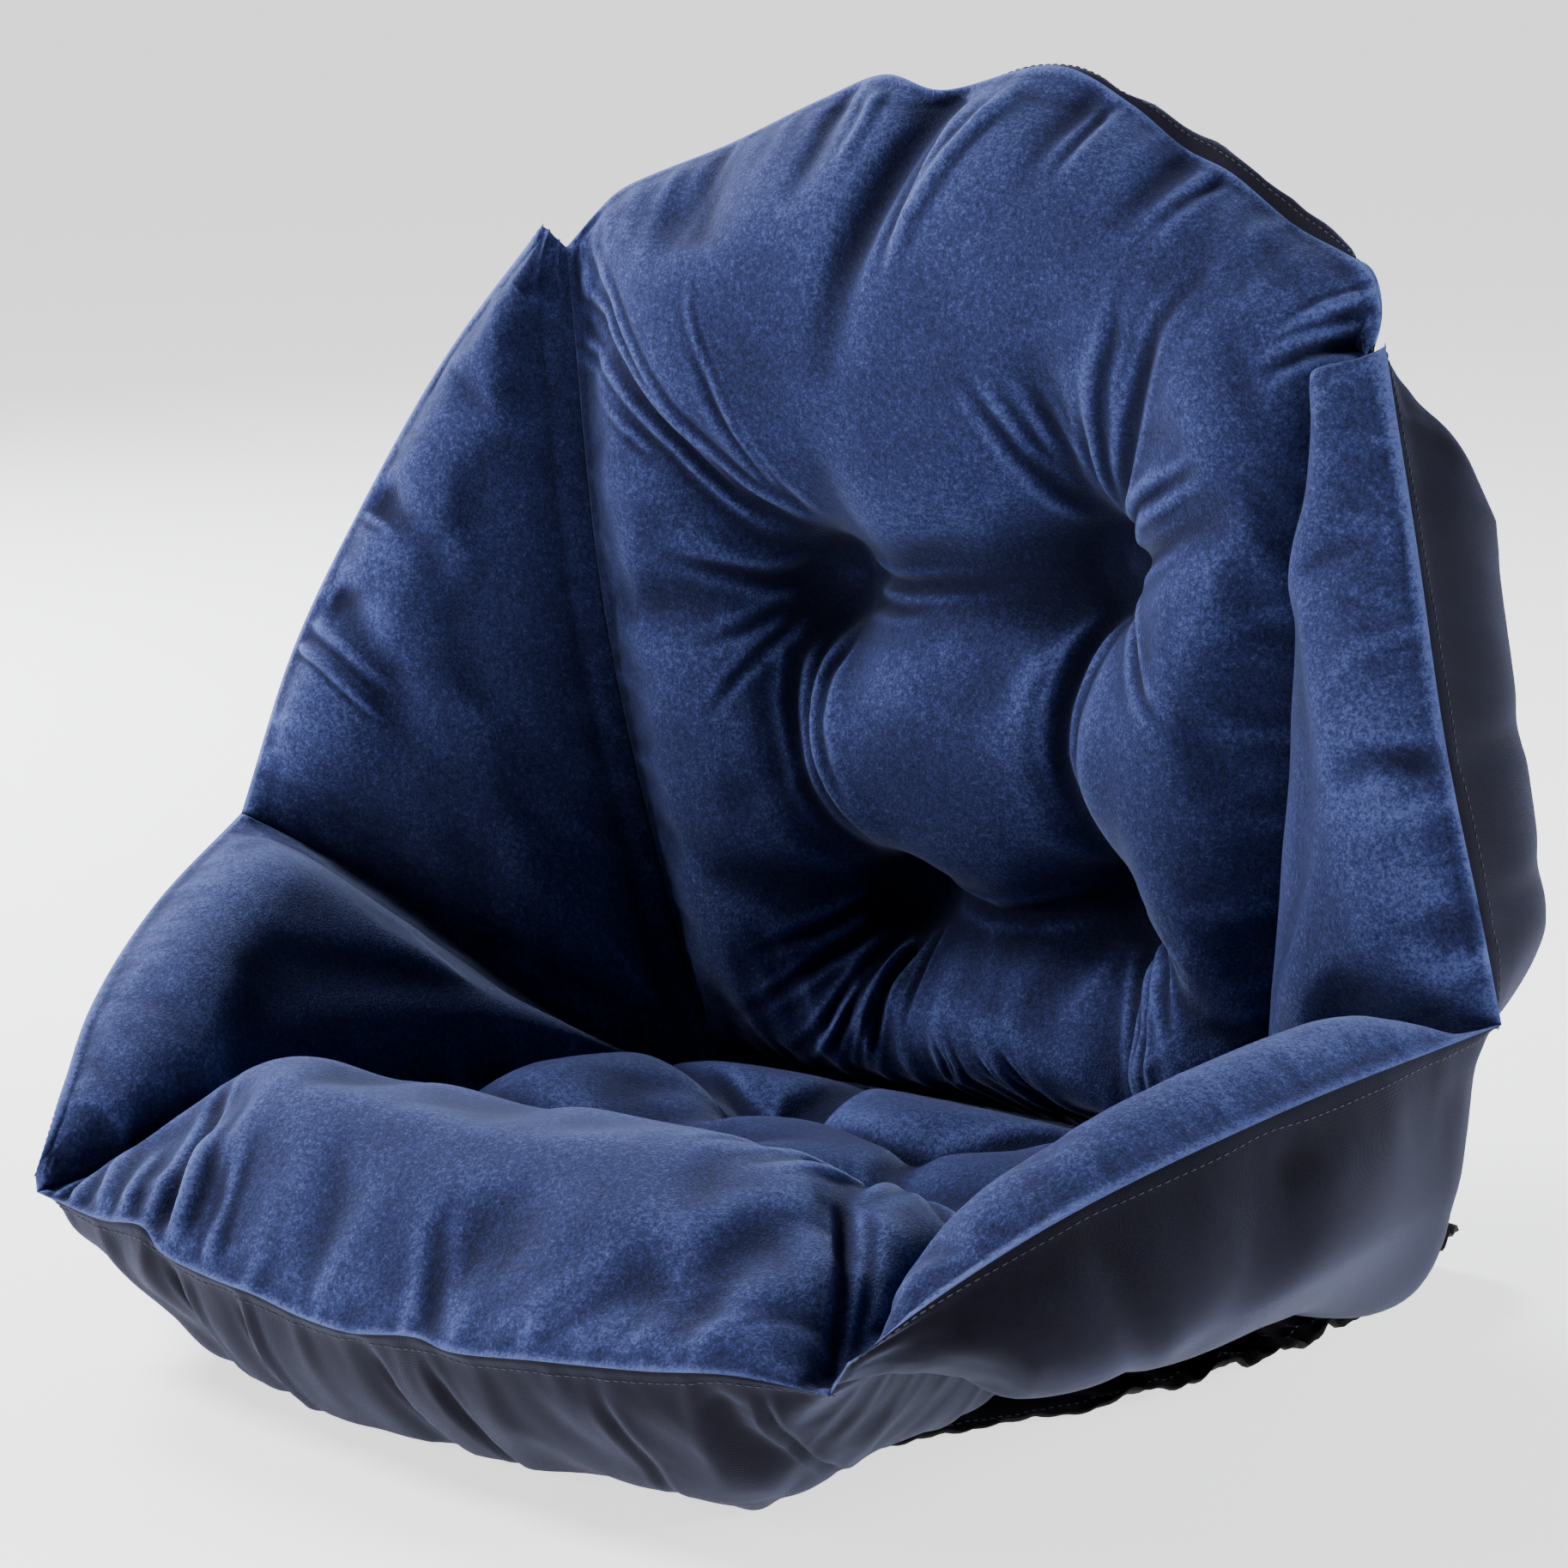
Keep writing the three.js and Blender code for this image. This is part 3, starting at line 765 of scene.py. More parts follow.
CREASES = with_columns(CREASE, {
    "back_pad": (
        (-4.0, 3.4, ((-104, 350), (-126, 372), (-152, 397), (-184, 436), (-212, 474), (-214, 500))),
        (-3.5, 3.2, ((-106, 340), (-148, 386), (-184, 426), (-217, 457), (-222, 486))),
        (-3.0, 3.0, ((-110, 336), (-158, 384), (-190, 410), (-220, 434), (-227, 458))),
        (-2.5, 3.2, ((-98, 352), (-109, 382), (-123, 420), (-138, 453), (-140, 480))),
        (3.5, 4.2, ((-98, 338), (-130, 364), (-168, 400), (-204, 434), (-218, 462))),
        (-2.0, 3.0, ((-170, 380), (-194, 396), (-214, 410))),
        (3, 5.0, ((-92, 344), (-107, 374), (-124, 412), (-134, 450))),
        (6, 3.6, ((-84, 318), (-63, 322), (-30, 326), (2, 331), (40, 337))),
        (5, 3.4, ((-80, 311), (-59, 314), (-34, 317), (-8, 321))),
        (6, 4.6, (
            (-94, 308), (-103, 288), (-102, 268), (-96, 245), (-90, 224), (-80, 202), (-66, 178)
        )),
        (5, 4.0, ((-88, 308), (-95, 288), (-94, 268), (-88, 245), (-81, 224), (-70, 202), (-60, 184))),
        (4, 4.0, ((-80, 300), (-84, 284), (-80, 260), (-72, 237), (-62, 214))),
        (3, 4.0, ((-100, 306), (-116, 292), (-131, 275), (-148, 252))),
        (-2.5, 2.8, ((-96, 300), (-99, 280), (-97, 262), (-92, 240), (-82, 214))),
        (4, 4.4, ((-98, 316), (-116, 318), (-139, 324), (-176, 332))),
        (3, 4.4, ((-98, 310), (-117, 304), (-132, 297), (-156, 286))),
        (4, 5.0, ((76, 358), (70, 380), (66, 394), (58, 412), (46, 438))),
        (4, 4.6, ((78, 362), (75, 395), (71, 414), (64, 440))),
        (3, 4.6, ((82, 362), (85, 386), (92, 412), (99, 444))),
        (4, 5.0, ((90, 362), (100, 398), (108, 429), (118, 457), (124, 492))),
        (4, 5.0, ((94, 360), (118, 405), (133, 436), (147, 466), (160, 494))),
        (4, 4.6, ((72, 360), (60, 388), (46, 412), (26, 440))),
        (4, 4.6, ((90, 356), (123, 378), (150, 390), (184, 406))),
        (3, 4.4, ((92, 348), (120, 354), (149, 365), (182, 380))),
        (5, 4.8, ((80, 334), (75, 306), (73, 283), (73, 260), (76, 240), (82, 208))),
        (4, 4.4, ((90, 338), (115, 325), (131, 311), (152, 298), (176, 282))),
        (-3, 3.6, ((84, 328), (81, 306), (79, 283), (79, 258), (82, 232))),
        (5, 4.4, ((-50, 160), (-20, 163), (29, 168), (63, 172), (78, 176))),
        (4, 4.0, ((-64, 151), (-80, 139), (-95, 130), (-116, 115), (-158, 85))),
        (4, 3.8, ((-64, 144), (-78, 122), (-97, 97), (-133, 64))),
        (5, 3.2, ((-60, 143), (-74, 122), (-83, 104), (-102, 68))),
        (5, 3.0, ((-54, 143), (-60, 124), (-64, 105), (-74, 66))),
        (-3.5, 2.8, ((-62, 143), (-76, 121), (-90, 99), (-117, 64))),
        (-3.5, 2.8, ((-57, 142), (-67, 122), (-74, 103), (-88, 66))),
        (3.5, 2.8, ((-48, 146), (-44, 128), (-44, 100))),
        (3.5, 2.6, ((-18, 78), (-15, 92), (-20, 108))),
        (-3, 2.6, ((-10, 76), (-6, 92), (-12, 108))),
        (3.5, 2.6, ((24, 74), (20, 88), (12, 102))),
        (-3, 2.6, ((33, 74), (30, 90), (22, 106))),
        (3.5, 2.6, ((44, 78), (38, 94), (28, 108))),
        (4, 4.4, ((-68, 153), (-87, 148), (-105, 142), (-138, 128))),
        (5, 4.4, ((88, 166), (104, 138), (116, 110), (122, 66))),
        (4, 4.0, ((90, 168), (122, 144), (134, 110), (138, 70))),
        (5, 4.4, ((96, 174), (123, 165), (140, 148), (158, 122))),
        (4, 4.4, ((96, 180), (130, 182), (149, 174), (172, 158))),
        (-3, 3.6, ((92, 160), (112, 128), (126, 94), (130, 66))),
        (4, 5.0, ((-10, 562), (-14, 530), (-18, 500), (-22, 470))),
        (-4, 5.0, ((24, 566), (6, 535), (-6, 508), (-14, 480))),
        (-3, 4.0, ((-61, 562), (-58, 545), (-62, 520))),
        (4, 4.4, ((70, 564), (70, 545), (66, 520))),
        (4, 4.4, ((140, 540), (134, 522), (124, 500))),
        (-4, 3.0, ((244, 496), (228, 486), (214, 474), (200, 458))),
        (7, 4.0, ((262, 474), (230, 467), (214, 456), (204, 444))),
    ),
    "back_wing_left": (
        (-5, 2.4, ((-344, 276), (-325, 262), (-312, 249), (-300, 237))),
        (5, 4.0, ((-342, 284), (-322, 270), (-307, 256), (-296, 243))),
        (-2.5, 2.4, ((-318, 343), (-306, 338), (-296, 330))),
    ),
    "seat_pad": (
        (-3, 2.6, ((-212, -278), (-214, -264), (-216, -248))),
        (3, 2.6, ((-204, -279), (-208, -263), (-212, -244))),
        (-3, 2.8, ((-196, -280), (-202, -264), (-207, -246))),
        (3, 3.0, ((-187, -281), (-195, -262), (-201, -240))),
        (-3.5, 3.0, ((-176, -282), (-187, -262), (-196, -238))),
        (3, 2.8, ((-166, -283), (-178, -262), (-188, -240))),
        (-3, 2.8, ((-157, -284), (-170, -262), (-181, -238))),
        (8, 4.2, ((-137, -286), (-144, -270), (-156, -246), (-168, -218), (-172, -192))),
        (-5, 5.0, ((-125, -288), (-132, -270), (-144, -244), (-156, -214))),
        (-2.5, 4.0, ((-100, -291), (-110, -268), (-124, -240))),
        (2.5, 6.0, ((35, -294), (26, -280), (16, -262), (12, -240))),
        (3.5, 2.8, ((150, -160), (166, -180), (184, -206), (204, -236), (222, -260))),
        (-2, 3.0, ((160, -160), (176, -182), (192, -208), (212, -240), (222, -254))),
        (-4, 4.4, ((98, -84), (108, -120), (110, -150), (104, -182))),
        (-4, 4.4, ((104, -82), (124, -116), (132, -148), (130, -182))),
        (-4, 4.4, ((112, -80), (138, -112), (150, -140), (158, -166))),
        (4, 4.4, ((96, -78), (98, -120), (96, -152), (88, -186))),
        (4, 4.2, ((100, -80), (116, -118), (121, -150), (118, -186))),
        (4, 4.2, ((110, -76), (146, -104), (172, -122), (196, -132))),
        (3, 4.2, ((106, -64), (140, -78), (176, -86))),
        (4, 3.4, ((56, 44), (76, 74), (98, 110))),
        (3, 3.2, ((62, 42), (90, 64), (118, 88))),
        (4, 3.4, ((-46, 56), (-46, 90), (-50, 126))),
        (4, 4.4, ((-54, 54), (-84, 64), (-120, 84))),
    ),
})

SLATE_CREASES = with_columns(CREASE, {
    "seat_pad": (
        (5, 3.0, ((-128, -288), (-120, -262), (-108, -228), (-96, -190))),
        (-3, 3.0, ((-120, -288), (-112, -262), (-100, -228))),
        (5, 3.2, ((-86, -290), (-80, -262), (-68, -228), (-52, -196))),
        (-3, 3.0, ((-78, -290), (-72, -262), (-58, -226))),
        (4, 3.0, ((-6, -294), (4, -266), (14, -236), (30, -200))),
        (4, 3.4, ((30, -294), (36, -262), (40, -230))),
        (3, 4.0, ((120, -290), (122, -262), (118, -230))),
        (5, 3.4, ((200, -278), (196, -250), (184, -210), (170, -180))),
    ),
    "seat_wing_right": (
        (5, 4.0, ((308, -92), (316, -81), (323, -64), (330, -50))),
    ),
})

# %% Carve creases into a fine face
LIP_AT = 1.9
LIP_WIDTH = 0.8
LIP_HEIGHT = 0.35
STARTS_OVER = 0.15
ENDS_OVER = 0.35
CREASE_FADE = 0.6
CREASE_LIMIT = 12.0
CREASE_NARROWING = 0.78


def crease_depth(place, crease):
    distance, share = along_line(place, crease["line"])
    reach = distance / (crease["width"] * CREASE_NARROWING)
    groove = np.exp(-(reach**2))
    lip = LIP_HEIGHT * np.exp(-(((reach - LIP_AT) / LIP_WIDTH) ** 2))
    ends = np.clip(share / STARTS_OVER, 0, 1) * np.clip((1 - share) / ENDS_OVER, 0, 1)
    return crease["depth"] * (groove - lip) * (1 - CREASE_FADE * share) * ends


def all_creases(place, creases):
    depths = (crease_depth(place, crease) for crease in creases)
    depth = sum(depths, np.zeros(place.shape[:-1]))
    return CREASE_LIMIT * np.tanh(depth / CREASE_LIMIT)


# %% [markdown]
# Cloth is gathered a little as it is sewn, so short soft pleats stand on every seam. They
# are not evenly spaced, so each one gets its own place, length, height and slant from a
# fixed seed.

# %% Gathers along the seams
LEFT, RIGHT, NEAR, FAR = range(4)
GATHERS = with_columns(("side", "spacing", "length", "height", "width", "seed"), {
    "back_pad": (
        (NEAR, 13, 60, 3.2, 3.4, 3),
        (FAR, 30, 30, 2.0, 4.6, 5),
        (LEFT, 52, 46, 1.5, 6.5, 8),
        (RIGHT, 46, 40, 1.4, 6.0, 9),
    ),
    "seat_pad": (
        (NEAR, 42, 26, 1.6, 5.0, 12),
        (LEFT, 44, 44, 1.5, 6.5, 14),
        (RIGHT, 36, 50, 1.8, 5.5, 15),
        (FAR, 26, 50, 1.8, 5.0, 16),
    ),
    "back_wing_left": (
        (LEFT, 60, 30, 1.8, 5.0, 21),
        (RIGHT, 70, 50, 1.0, 8.0, 22),
    ),
    "back_wing_right": (
        (RIGHT, 60, 26, 1.8, 5.0, 24),
        (LEFT, 60, 46, 1.2, 7.0, 25),
    ),
    "seat_wing_left": (
        (LEFT, 70, 34, 1.6, 5.6, 27),
        (RIGHT, 56, 46, 1.2, 7.0, 28),
    ),
    "seat_wing_right": (
        (RIGHT, 70, 30, 1.4, 5.6, 30),
        (LEFT, 56, 46, 1.2, 7.0, 31),
    ),
})
FIRST_SPACING = (0.3, 1.0)
SPACINGS = (0.6, 1.5)
LENGTHS = (0.45, 1.35)
HEIGHTS = (0.35, 1.2)
SLANT = 0.16
WIDTH_AT_SEAM = 0.8
WIDENING = 0.9
RISES_OVER = 3
REVERSE_SEED = 100


def seam_gathers(distances, row, seed):
    """Soft pleats that stand on one seam and run out into the pad."""
    chance = np.random.default_rng(seed)
    away = distances[row["side"]]
    first, second = (2, 3) if row["side"] in (LEFT, RIGHT) else (0, 1)
    along = distances[first]
    seam_length = float((distances[first] + distances[second]).max())
    raised = np.zeros_like(away)
    at = row["spacing"] * chance.uniform(*FIRST_SPACING)
    while at < seam_length:
        reach = row["length"] * chance.uniform(*LENGTHS)
        height = row["height"] * chance.uniform(*HEIGHTS)
        slant = chance.normal(0, SLANT)
        half_width = row["width"] * (WIDTH_AT_SEAM + WIDENING * away / reach)
        off = (along - at - slant * away) / half_width
        raised += height * np.exp(-(off**2)) * np.exp(-((away / reach) ** 2))
        at += row["spacing"] * chance.uniform(*SPACINGS)
    return raised * (1 - np.exp(-away / RISES_OVER))


def all_gathers(distances, name, face_name):
    raised = np.zeros_like(distances[0])
    for row in GATHERS[name]:
        seed = row["seed"] if face_name == "inner" else row["seed"] + REVERSE_SEED
        raised += seam_gathers(distances, row, seed)
    return raised


# %% [markdown]
# ## Fabrics
# Three cloths show: the brushed velvet, the plain slate-blue reverse and the black base.
# Pile and weave are a node group each, which is built once and placed in a material. The
# two plain cloths share the weave and differ in their threads per metre.

# %% Helpers for building node trees
def new_group(name, inputs, outputs):
    group = bpy.data.node_groups.new(name, "ShaderNodeTree")
    for label, value in inputs.items():
        socket = group.interface.new_socket(label, in_out="INPUT", socket_type="NodeSocketFloat")
        socket.default_value = value
    for label in outputs:
        group.interface.new_socket(label, in_out="OUTPUT", socket_type="NodeSocketFloat")
    entry = group.nodes.new("NodeGroupInput")
    leave = group.nodes.new("NodeGroupOutput")
    return group, entry, leave


def add_math(tree, operation, first, second):
    node = tree.nodes.new("ShaderNodeMath")
    node.operation = operation
    set_inputs(node, {0: first, 1: second})
    return node.outputs[0]


def weighted_sum(tree, start, terms):
    """A start value plus each socket times its weight."""
    total = start
    for socket, weight in terms:
        total = add_math(tree, "ADD", total, add_math(tree, "MULTIPLY", socket, weight))
    return total


def add_noise(tree, vector, scale, detail, roughness=0.5):
    node = tree.nodes.new("ShaderNodeTexNoise")
    set_inputs(node, {"Vector": vector, "Scale": scale, "Detail": detail, "Roughness": roughness})
    return node.outputs["Fac"]


# %% [markdown]
# Velvet is uneven on three scales. Up close its pile is a fine grain that stands in small
# clumps, and further off it shows patches a few centimetres wide, where the pile was
# brushed one way or the other.

# %% Node group for brushed pile
pile_group, pile_in, pile_out = new_group(
    "brushed pile",
    {"Grain per metre": 850.0, "Clumps per metre": 380.0, "Patches per metre": 16.0},
    ("Grain", "Clumps", "Patches"),
)
pile_place = pile_group.nodes.new("ShaderNodeTexCoord").outputs["Object"]
for label, output, detail in (
    ("Grain per metre", "Grain", 2), ("Clumps per metre", "Clumps", 3),
    ("Patches per metre", "Patches", 5),
):
    noise = add_noise(pile_group, pile_place, pile_in.outputs[label], detail, 0.6)
    pile_group.links.new(noise, pile_out.inputs[output])

# %% Velvet
def add_ramp(tree, value, stops):
    node = tree.nodes.new("ShaderNodeValToRGB")
    while len(node.color_ramp.elements) < len(stops):
        node.color_ramp.elements.new(0.5)
    for element, (position, colour) in zip(node.color_ramp.elements, stops):
        element.position = position
        element.color = (*colour, 1)
    set_inputs(node, {"Fac": value})
    return node.outputs["Color"]


def add_bump(tree, height, distance, strength):
    node = tree.nodes.new("ShaderNodeBump")
    set_inputs(node, {"Height": height, "Distance": distance, "Strength": strength})
    return node.outputs["Normal"]


velvet, tree, shader = new_material("velvet")
pile = tree.nodes.new("ShaderNodeGroup")
pile.node_tree = pile_group
# The fold attribute is painted light: painted shade in folds and hollows, a painted highlight on
# ridges and along free seams. It is added to the pile's own grain, clumps and patches.
fold = tree.nodes.new("ShaderNodeAttribute")
fold.attribute_name = "fold"
tone = weighted_sum(tree, 0.04, (
    (pile.outputs["Grain"], 0.46), (pile.outputs["Clumps"], 0.40),
    (pile.outputs["Patches"], 0.18), (fold.outputs["Fac"], 0.20),
))
colour = add_ramp(tree, tone, (
    (0.16, (0.006, 0.005, 0.011)), (0.46, (0.014, 0.017, 0.050)),
    (0.62, (0.027, 0.035, 0.112)), (0.86, (0.092, 0.122, 0.31)),
))
dullness = weighted_sum(tree, 0.78, ((pile.outputs["Clumps"], 0.3),))
set_inputs(shader, {
    "Base Color": colour, "Roughness": dullness,
    "Normal": add_bump(tree, pile.outputs["Grain"], 0.0012, 0.5), "Specular IOR Level": 0.06,
    "Sheen Weight": 0.24, "Sheen Roughness": 0.36, "Sheen Tint": (0.52, 0.62, 1.0, 1),
})

# %% [markdown]
# The reverse is a smooth plain-woven cloth. Its threads run across and along the pad, so
# they follow the pad's own UV map, which is in metres.

# %% Node group for a plain weave
weave_group, weave_in, weave_out = new_group(
    "plain weave", {"Threads per metre": 1300.0, "Unevenness per metre": 60.0}, ("Thread", "Cloud"),
)
weave_place = weave_group.nodes.new("ShaderNodeUVMap").outputs["UV"]
split = weave_group.nodes.new("ShaderNodeSeparateXYZ")
weave_group.links.new(weave_place, split.inputs[0])
waves = []
for axis in ("X", "Y"):
    threads = weave_in.outputs["Threads per metre"]
    turn = add_math(weave_group, "MULTIPLY", split.outputs[axis], threads)
    turn = add_math(weave_group, "MULTIPLY", turn, 2 * math.pi)
    waves.append(add_math(weave_group, "SINE", turn, 0.0))
thread = add_math(weave_group, "MULTIPLY", waves[0], waves[1])
weave_group.links.new(thread, weave_out.inputs["Thread"])
cloud = add_noise(weave_group, weave_place, weave_in.outputs["Unevenness per metre"], 4, 0.6)
weave_group.links.new(cloud, weave_out.inputs["Cloud"])

# %% Slate-blue cloth and black base cloth
def woven_cloth(name, dark, light, threads, sheen, roughness):
    material, tree, shader = new_material(name)
    weave = tree.nodes.new("ShaderNodeGroup")
    weave.node_tree = weave_group
    set_inputs(weave, {"Threads per metre": threads})
    # The fold attribute adds painted shade in folds and a painted highlight on ridges and along free
    # seams.
    fold = tree.nodes.new("ShaderNodeAttribute")
    fold.attribute_name = "fold"
    cloud = weave.outputs["Cloud"]
    tone = weighted_sum(tree, cloud, ((weave.outputs["Thread"], 0.12), (fold.outputs["Fac"], 0.15)))
    dullness = weighted_sum(tree, roughness, ((cloud, 0.15),))
    set_inputs(shader, {
        "Base Color": add_ramp(tree, tone, ((0.3, dark), (0.72, light))), "Roughness": dullness,
        "Normal": add_bump(tree, weave.outputs["Thread"], 0.0004, 0.35), "Specular IOR Level": 0.08,
        "Sheen Weight": sheen, "Sheen Roughness": 0.35, "Sheen Tint": (0.55, 0.62, 1.0, 1),
    })
    return material


slate = woven_cloth(
    "slate cloth", dark=(0.0034, 0.0031, 0.007), light=(0.0064, 0.0061, 0.0138),
    threads=1300.0, sheen=0.29, roughness=0.66,
)
black = woven_cloth(
    "black base cloth", dark=(0.005, 0.004, 0.004), light=(0.010, 0.008, 0.008),
    threads=900.0, sheen=0.02, roughness=0.7,
)

# %% [markdown]
# ## Pads as meshes
# The velvet face of most pads has two or three times the rows of its reverse, and the two
# share their border. Each point also gets a number that is high on a ridge and low in a
# fold, from how far it stands out from its neighbours. The fabrics read it as painted
# light: painted shade darkens the folds and hollows, and a painted highlight lightens the ridges.

# %% How far each point stands out from its neighbours
def standing_out(points, spacing):
    steps = ((spacing, 0), (-spacing, 0), (0, spacing), (0, -spacing))
    rows, columns = points.shape[:2]
    j, i = np.meshgrid(np.arange(rows), np.arange(columns), indexing="ij")
    around = sum(
        points[np.clip(j + dj, 0, rows - 1), np.clip(i + di, 0, columns - 1)] for dj, di in steps
    )
    return ((points - around / len(steps)) * surface_normal(points)).sum(axis=-1)


# Widths and weights of the painted shade in folds and the painted highlight on ridges.
FOLD_SHADE_STEPS = (
    {"reach": 2.0, "weight": 2.1}, {"reach": 8.0, "weight": 0.36}, {"reach": 22.0, "weight": 0.05},
)


def fold_shade_and_highlight(points, sign):
    """Painted light over three widths of fold together: painted shade down to -1 in a fold, a painted
    highlight up to 1 on a ridge.
    """
    spacing = np.median(np.linalg.norm(np.diff(points, axis=1), axis=-1))
    tone = 0
    for row in FOLD_SHADE_STEPS:
        rows_apart = max(1, round(row["reach"] / spacing))
        tone = tone + row["weight"] * standing_out(points, rows_apart)
    return np.tanh(sign * tone)


# %% [markdown]
# The tables start from the middle of the underside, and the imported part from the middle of
# its box. The front edge of the base cloth tells how far apart the two are.

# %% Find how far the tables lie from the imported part
BASE_FRONT = -205
shift = np.array((0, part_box("base_cloth")[0][1] / MM - BASE_FRONT, 0))
print("tables move by", shift.round(2), "mm")

# %% [markdown]
# Three things are still missing. A painted highlight lightens the pile along each free
# seam. The reverse comes over the top edge of the back. And the hollows of the real
# cushion are deeper than the pressure leaves them.

# %% Painted rim highlights, the rolled edge and the hollows
# Width and strength of the painted highlight along the free seams.
RIM_WIDTH = 1.6
RIM_HIGHLIGHT = 1.8
DRAWN_VALLEYS = 0.3
DRAWN_PIT = {"depth": 12, "reach": 22}


def painted_rim_highlight(name, distances):
    """Paints a highlight on the pile along the seams that have no neighbour."""
    free = [d for d, lean in zip(distances, PADS[name]["inner"]["lean"]) if lean == FREE_LEAN]
    return RIM_HIGHLIGHT * np.exp(-np.min(free, axis=0) / RIM_WIDTH)


def roll_over(grid, outer):
    """Draws the reverse past its far seam, so that it shows above the velvet."""
    up = np.gradient(grid["middle"], axis=0)
    up = up / np.linalg.norm(up, axis=-1, keepdims=True)
    away = grid["distances"][FAR]
    for row in ROLLS.get(grid["name"], ()):
        share = away / row["reach"]
        beside = (grid["u"] - row["at"]) / row["spread"]
        rolled = row["height"] * share * np.exp(1 - share) * np.exp(-(beside**4))
        outer = outer + up * rolled[..., None]
    return outer


def drawn_in(name, place):
    """Depths by which the valleys and tufts are drawn in once more."""
    depth = DRAWN_VALLEYS * sunk_valleys(place, VALLEYS.get(name, ()))
    for tuft in TUFTS.get(name, ()):
        pit = DRAWN_PIT["depth"] * np.exp(-distance_to(tuft, place) / DRAWN_PIT["reach"])
        depth = depth + (1 - tuft["left"]) * pit
    return depth


# %% [markdown]
# Each face then gets its rows, its gathers and its creases. The velvet is kept a few
# millimetres above the reverse, so that no crease cuts through a thin wing.

# %% Refine and carve one face
CARVED_BLUR = 1
THINNEST = 5.0
CREASE_CLEARANCE = 6.0


def fine_face(name, times, face_name, creases):
    """Adds rows to one face of a plump pad, raises its gathers and carves its creases."""
    grid = layouts[name]
    kept = ("u", "v", "middle", "normal", "place")
    fine_grid = {key: refined(grid[key], times) for key in kept}
    fine_grid["distances"] = [refined(d, times) for d in grid["distances"]]
    fine_grid["name"] = name
    face = refined(plump[name][face_name], times)
    clear = np.clip(nearest_seam(fine_grid) / CREASE_CLEARANCE, 0, 1)
    raised = all_gathers(fine_grid["distances"], name, face_name)
    raised = raised - all_creases(fine_grid["place"], creases.get(name, ())) * clear
    if face_name == "inner":
        raised = raised - drawn_in(name, fine_grid["place"]) * clear
    face = face + SIGN[face_name] * surface_normal(face) * raised[..., None]
    face = blurred(face, CARVED_BLUR)
    if face_name == "inner":
        reverse = refined(plump[name]["outer"], times)
        thick = ((face - reverse) * fine_grid["normal"]).sum(axis=-1)
        short = np.maximum(THINNEST * clear - thick, 0)
        face = face + short[..., None] * fine_grid["normal"]
    return fine_grid, settle(fine_grid, face, face_name)


# %% [markdown]
# Velvet and reverse have different numbers of rows but one border. A face of the reverse
# that touches the border takes in all its points, so it can have more than four corners.

# %% Faces of the reverse
def reverse_faces(fine, coarse, ratio):
    faces = []
    last_row, last_column = coarse.shape[0] - 2, coarse.shape[1] - 2
    between = range(1, ratio)
    for j in range(last_row + 1):
        for i in range(last_column + 1):
            border = [coarse[j, i]]
            if i == 0:
                border += [fine[ratio * j + k, 0] for k in between]
            border.append(coarse[j + 1, i])
            if j == last_row:
                border += [fine[-1, ratio * i + k] for k in between]
            border.append(coarse[j + 1, i + 1])
            if i == last_column:
                border += [fine[ratio * (j + 1) - k, -1] for k in between]
            border.append(coarse[j, i + 1])
            if j == 0:
                border += [fine[0, ratio * (i + 1) - k] for k in between]
            faces.append([int(k) for k in border])
    return faces


# %% [markdown]
# Both faces are joined into one closed mesh with two materials. Its UV map is as large as
# the pad laid flat, in metres, and the weave follows it.

# %% Build one pad
REFINING = {
    "back_pad": (3, 1), "back_wing_left": (2, 1), "back_wing_right": (2, 1),
    "seat_pad": (2, 2), "seat_wing_left": (2, 1), "seat_wing_right": (2, 1),
}
finished = {}


def smooth_mesh(name, points, faces):
    mesh = bpy.data.meshes.new(name)
    mesh.from_pydata(((points + shift) * MM).tolist(), [], faces)
    mesh.polygons.foreach_set("use_smooth", np.ones(len(faces), bool))
    return mesh


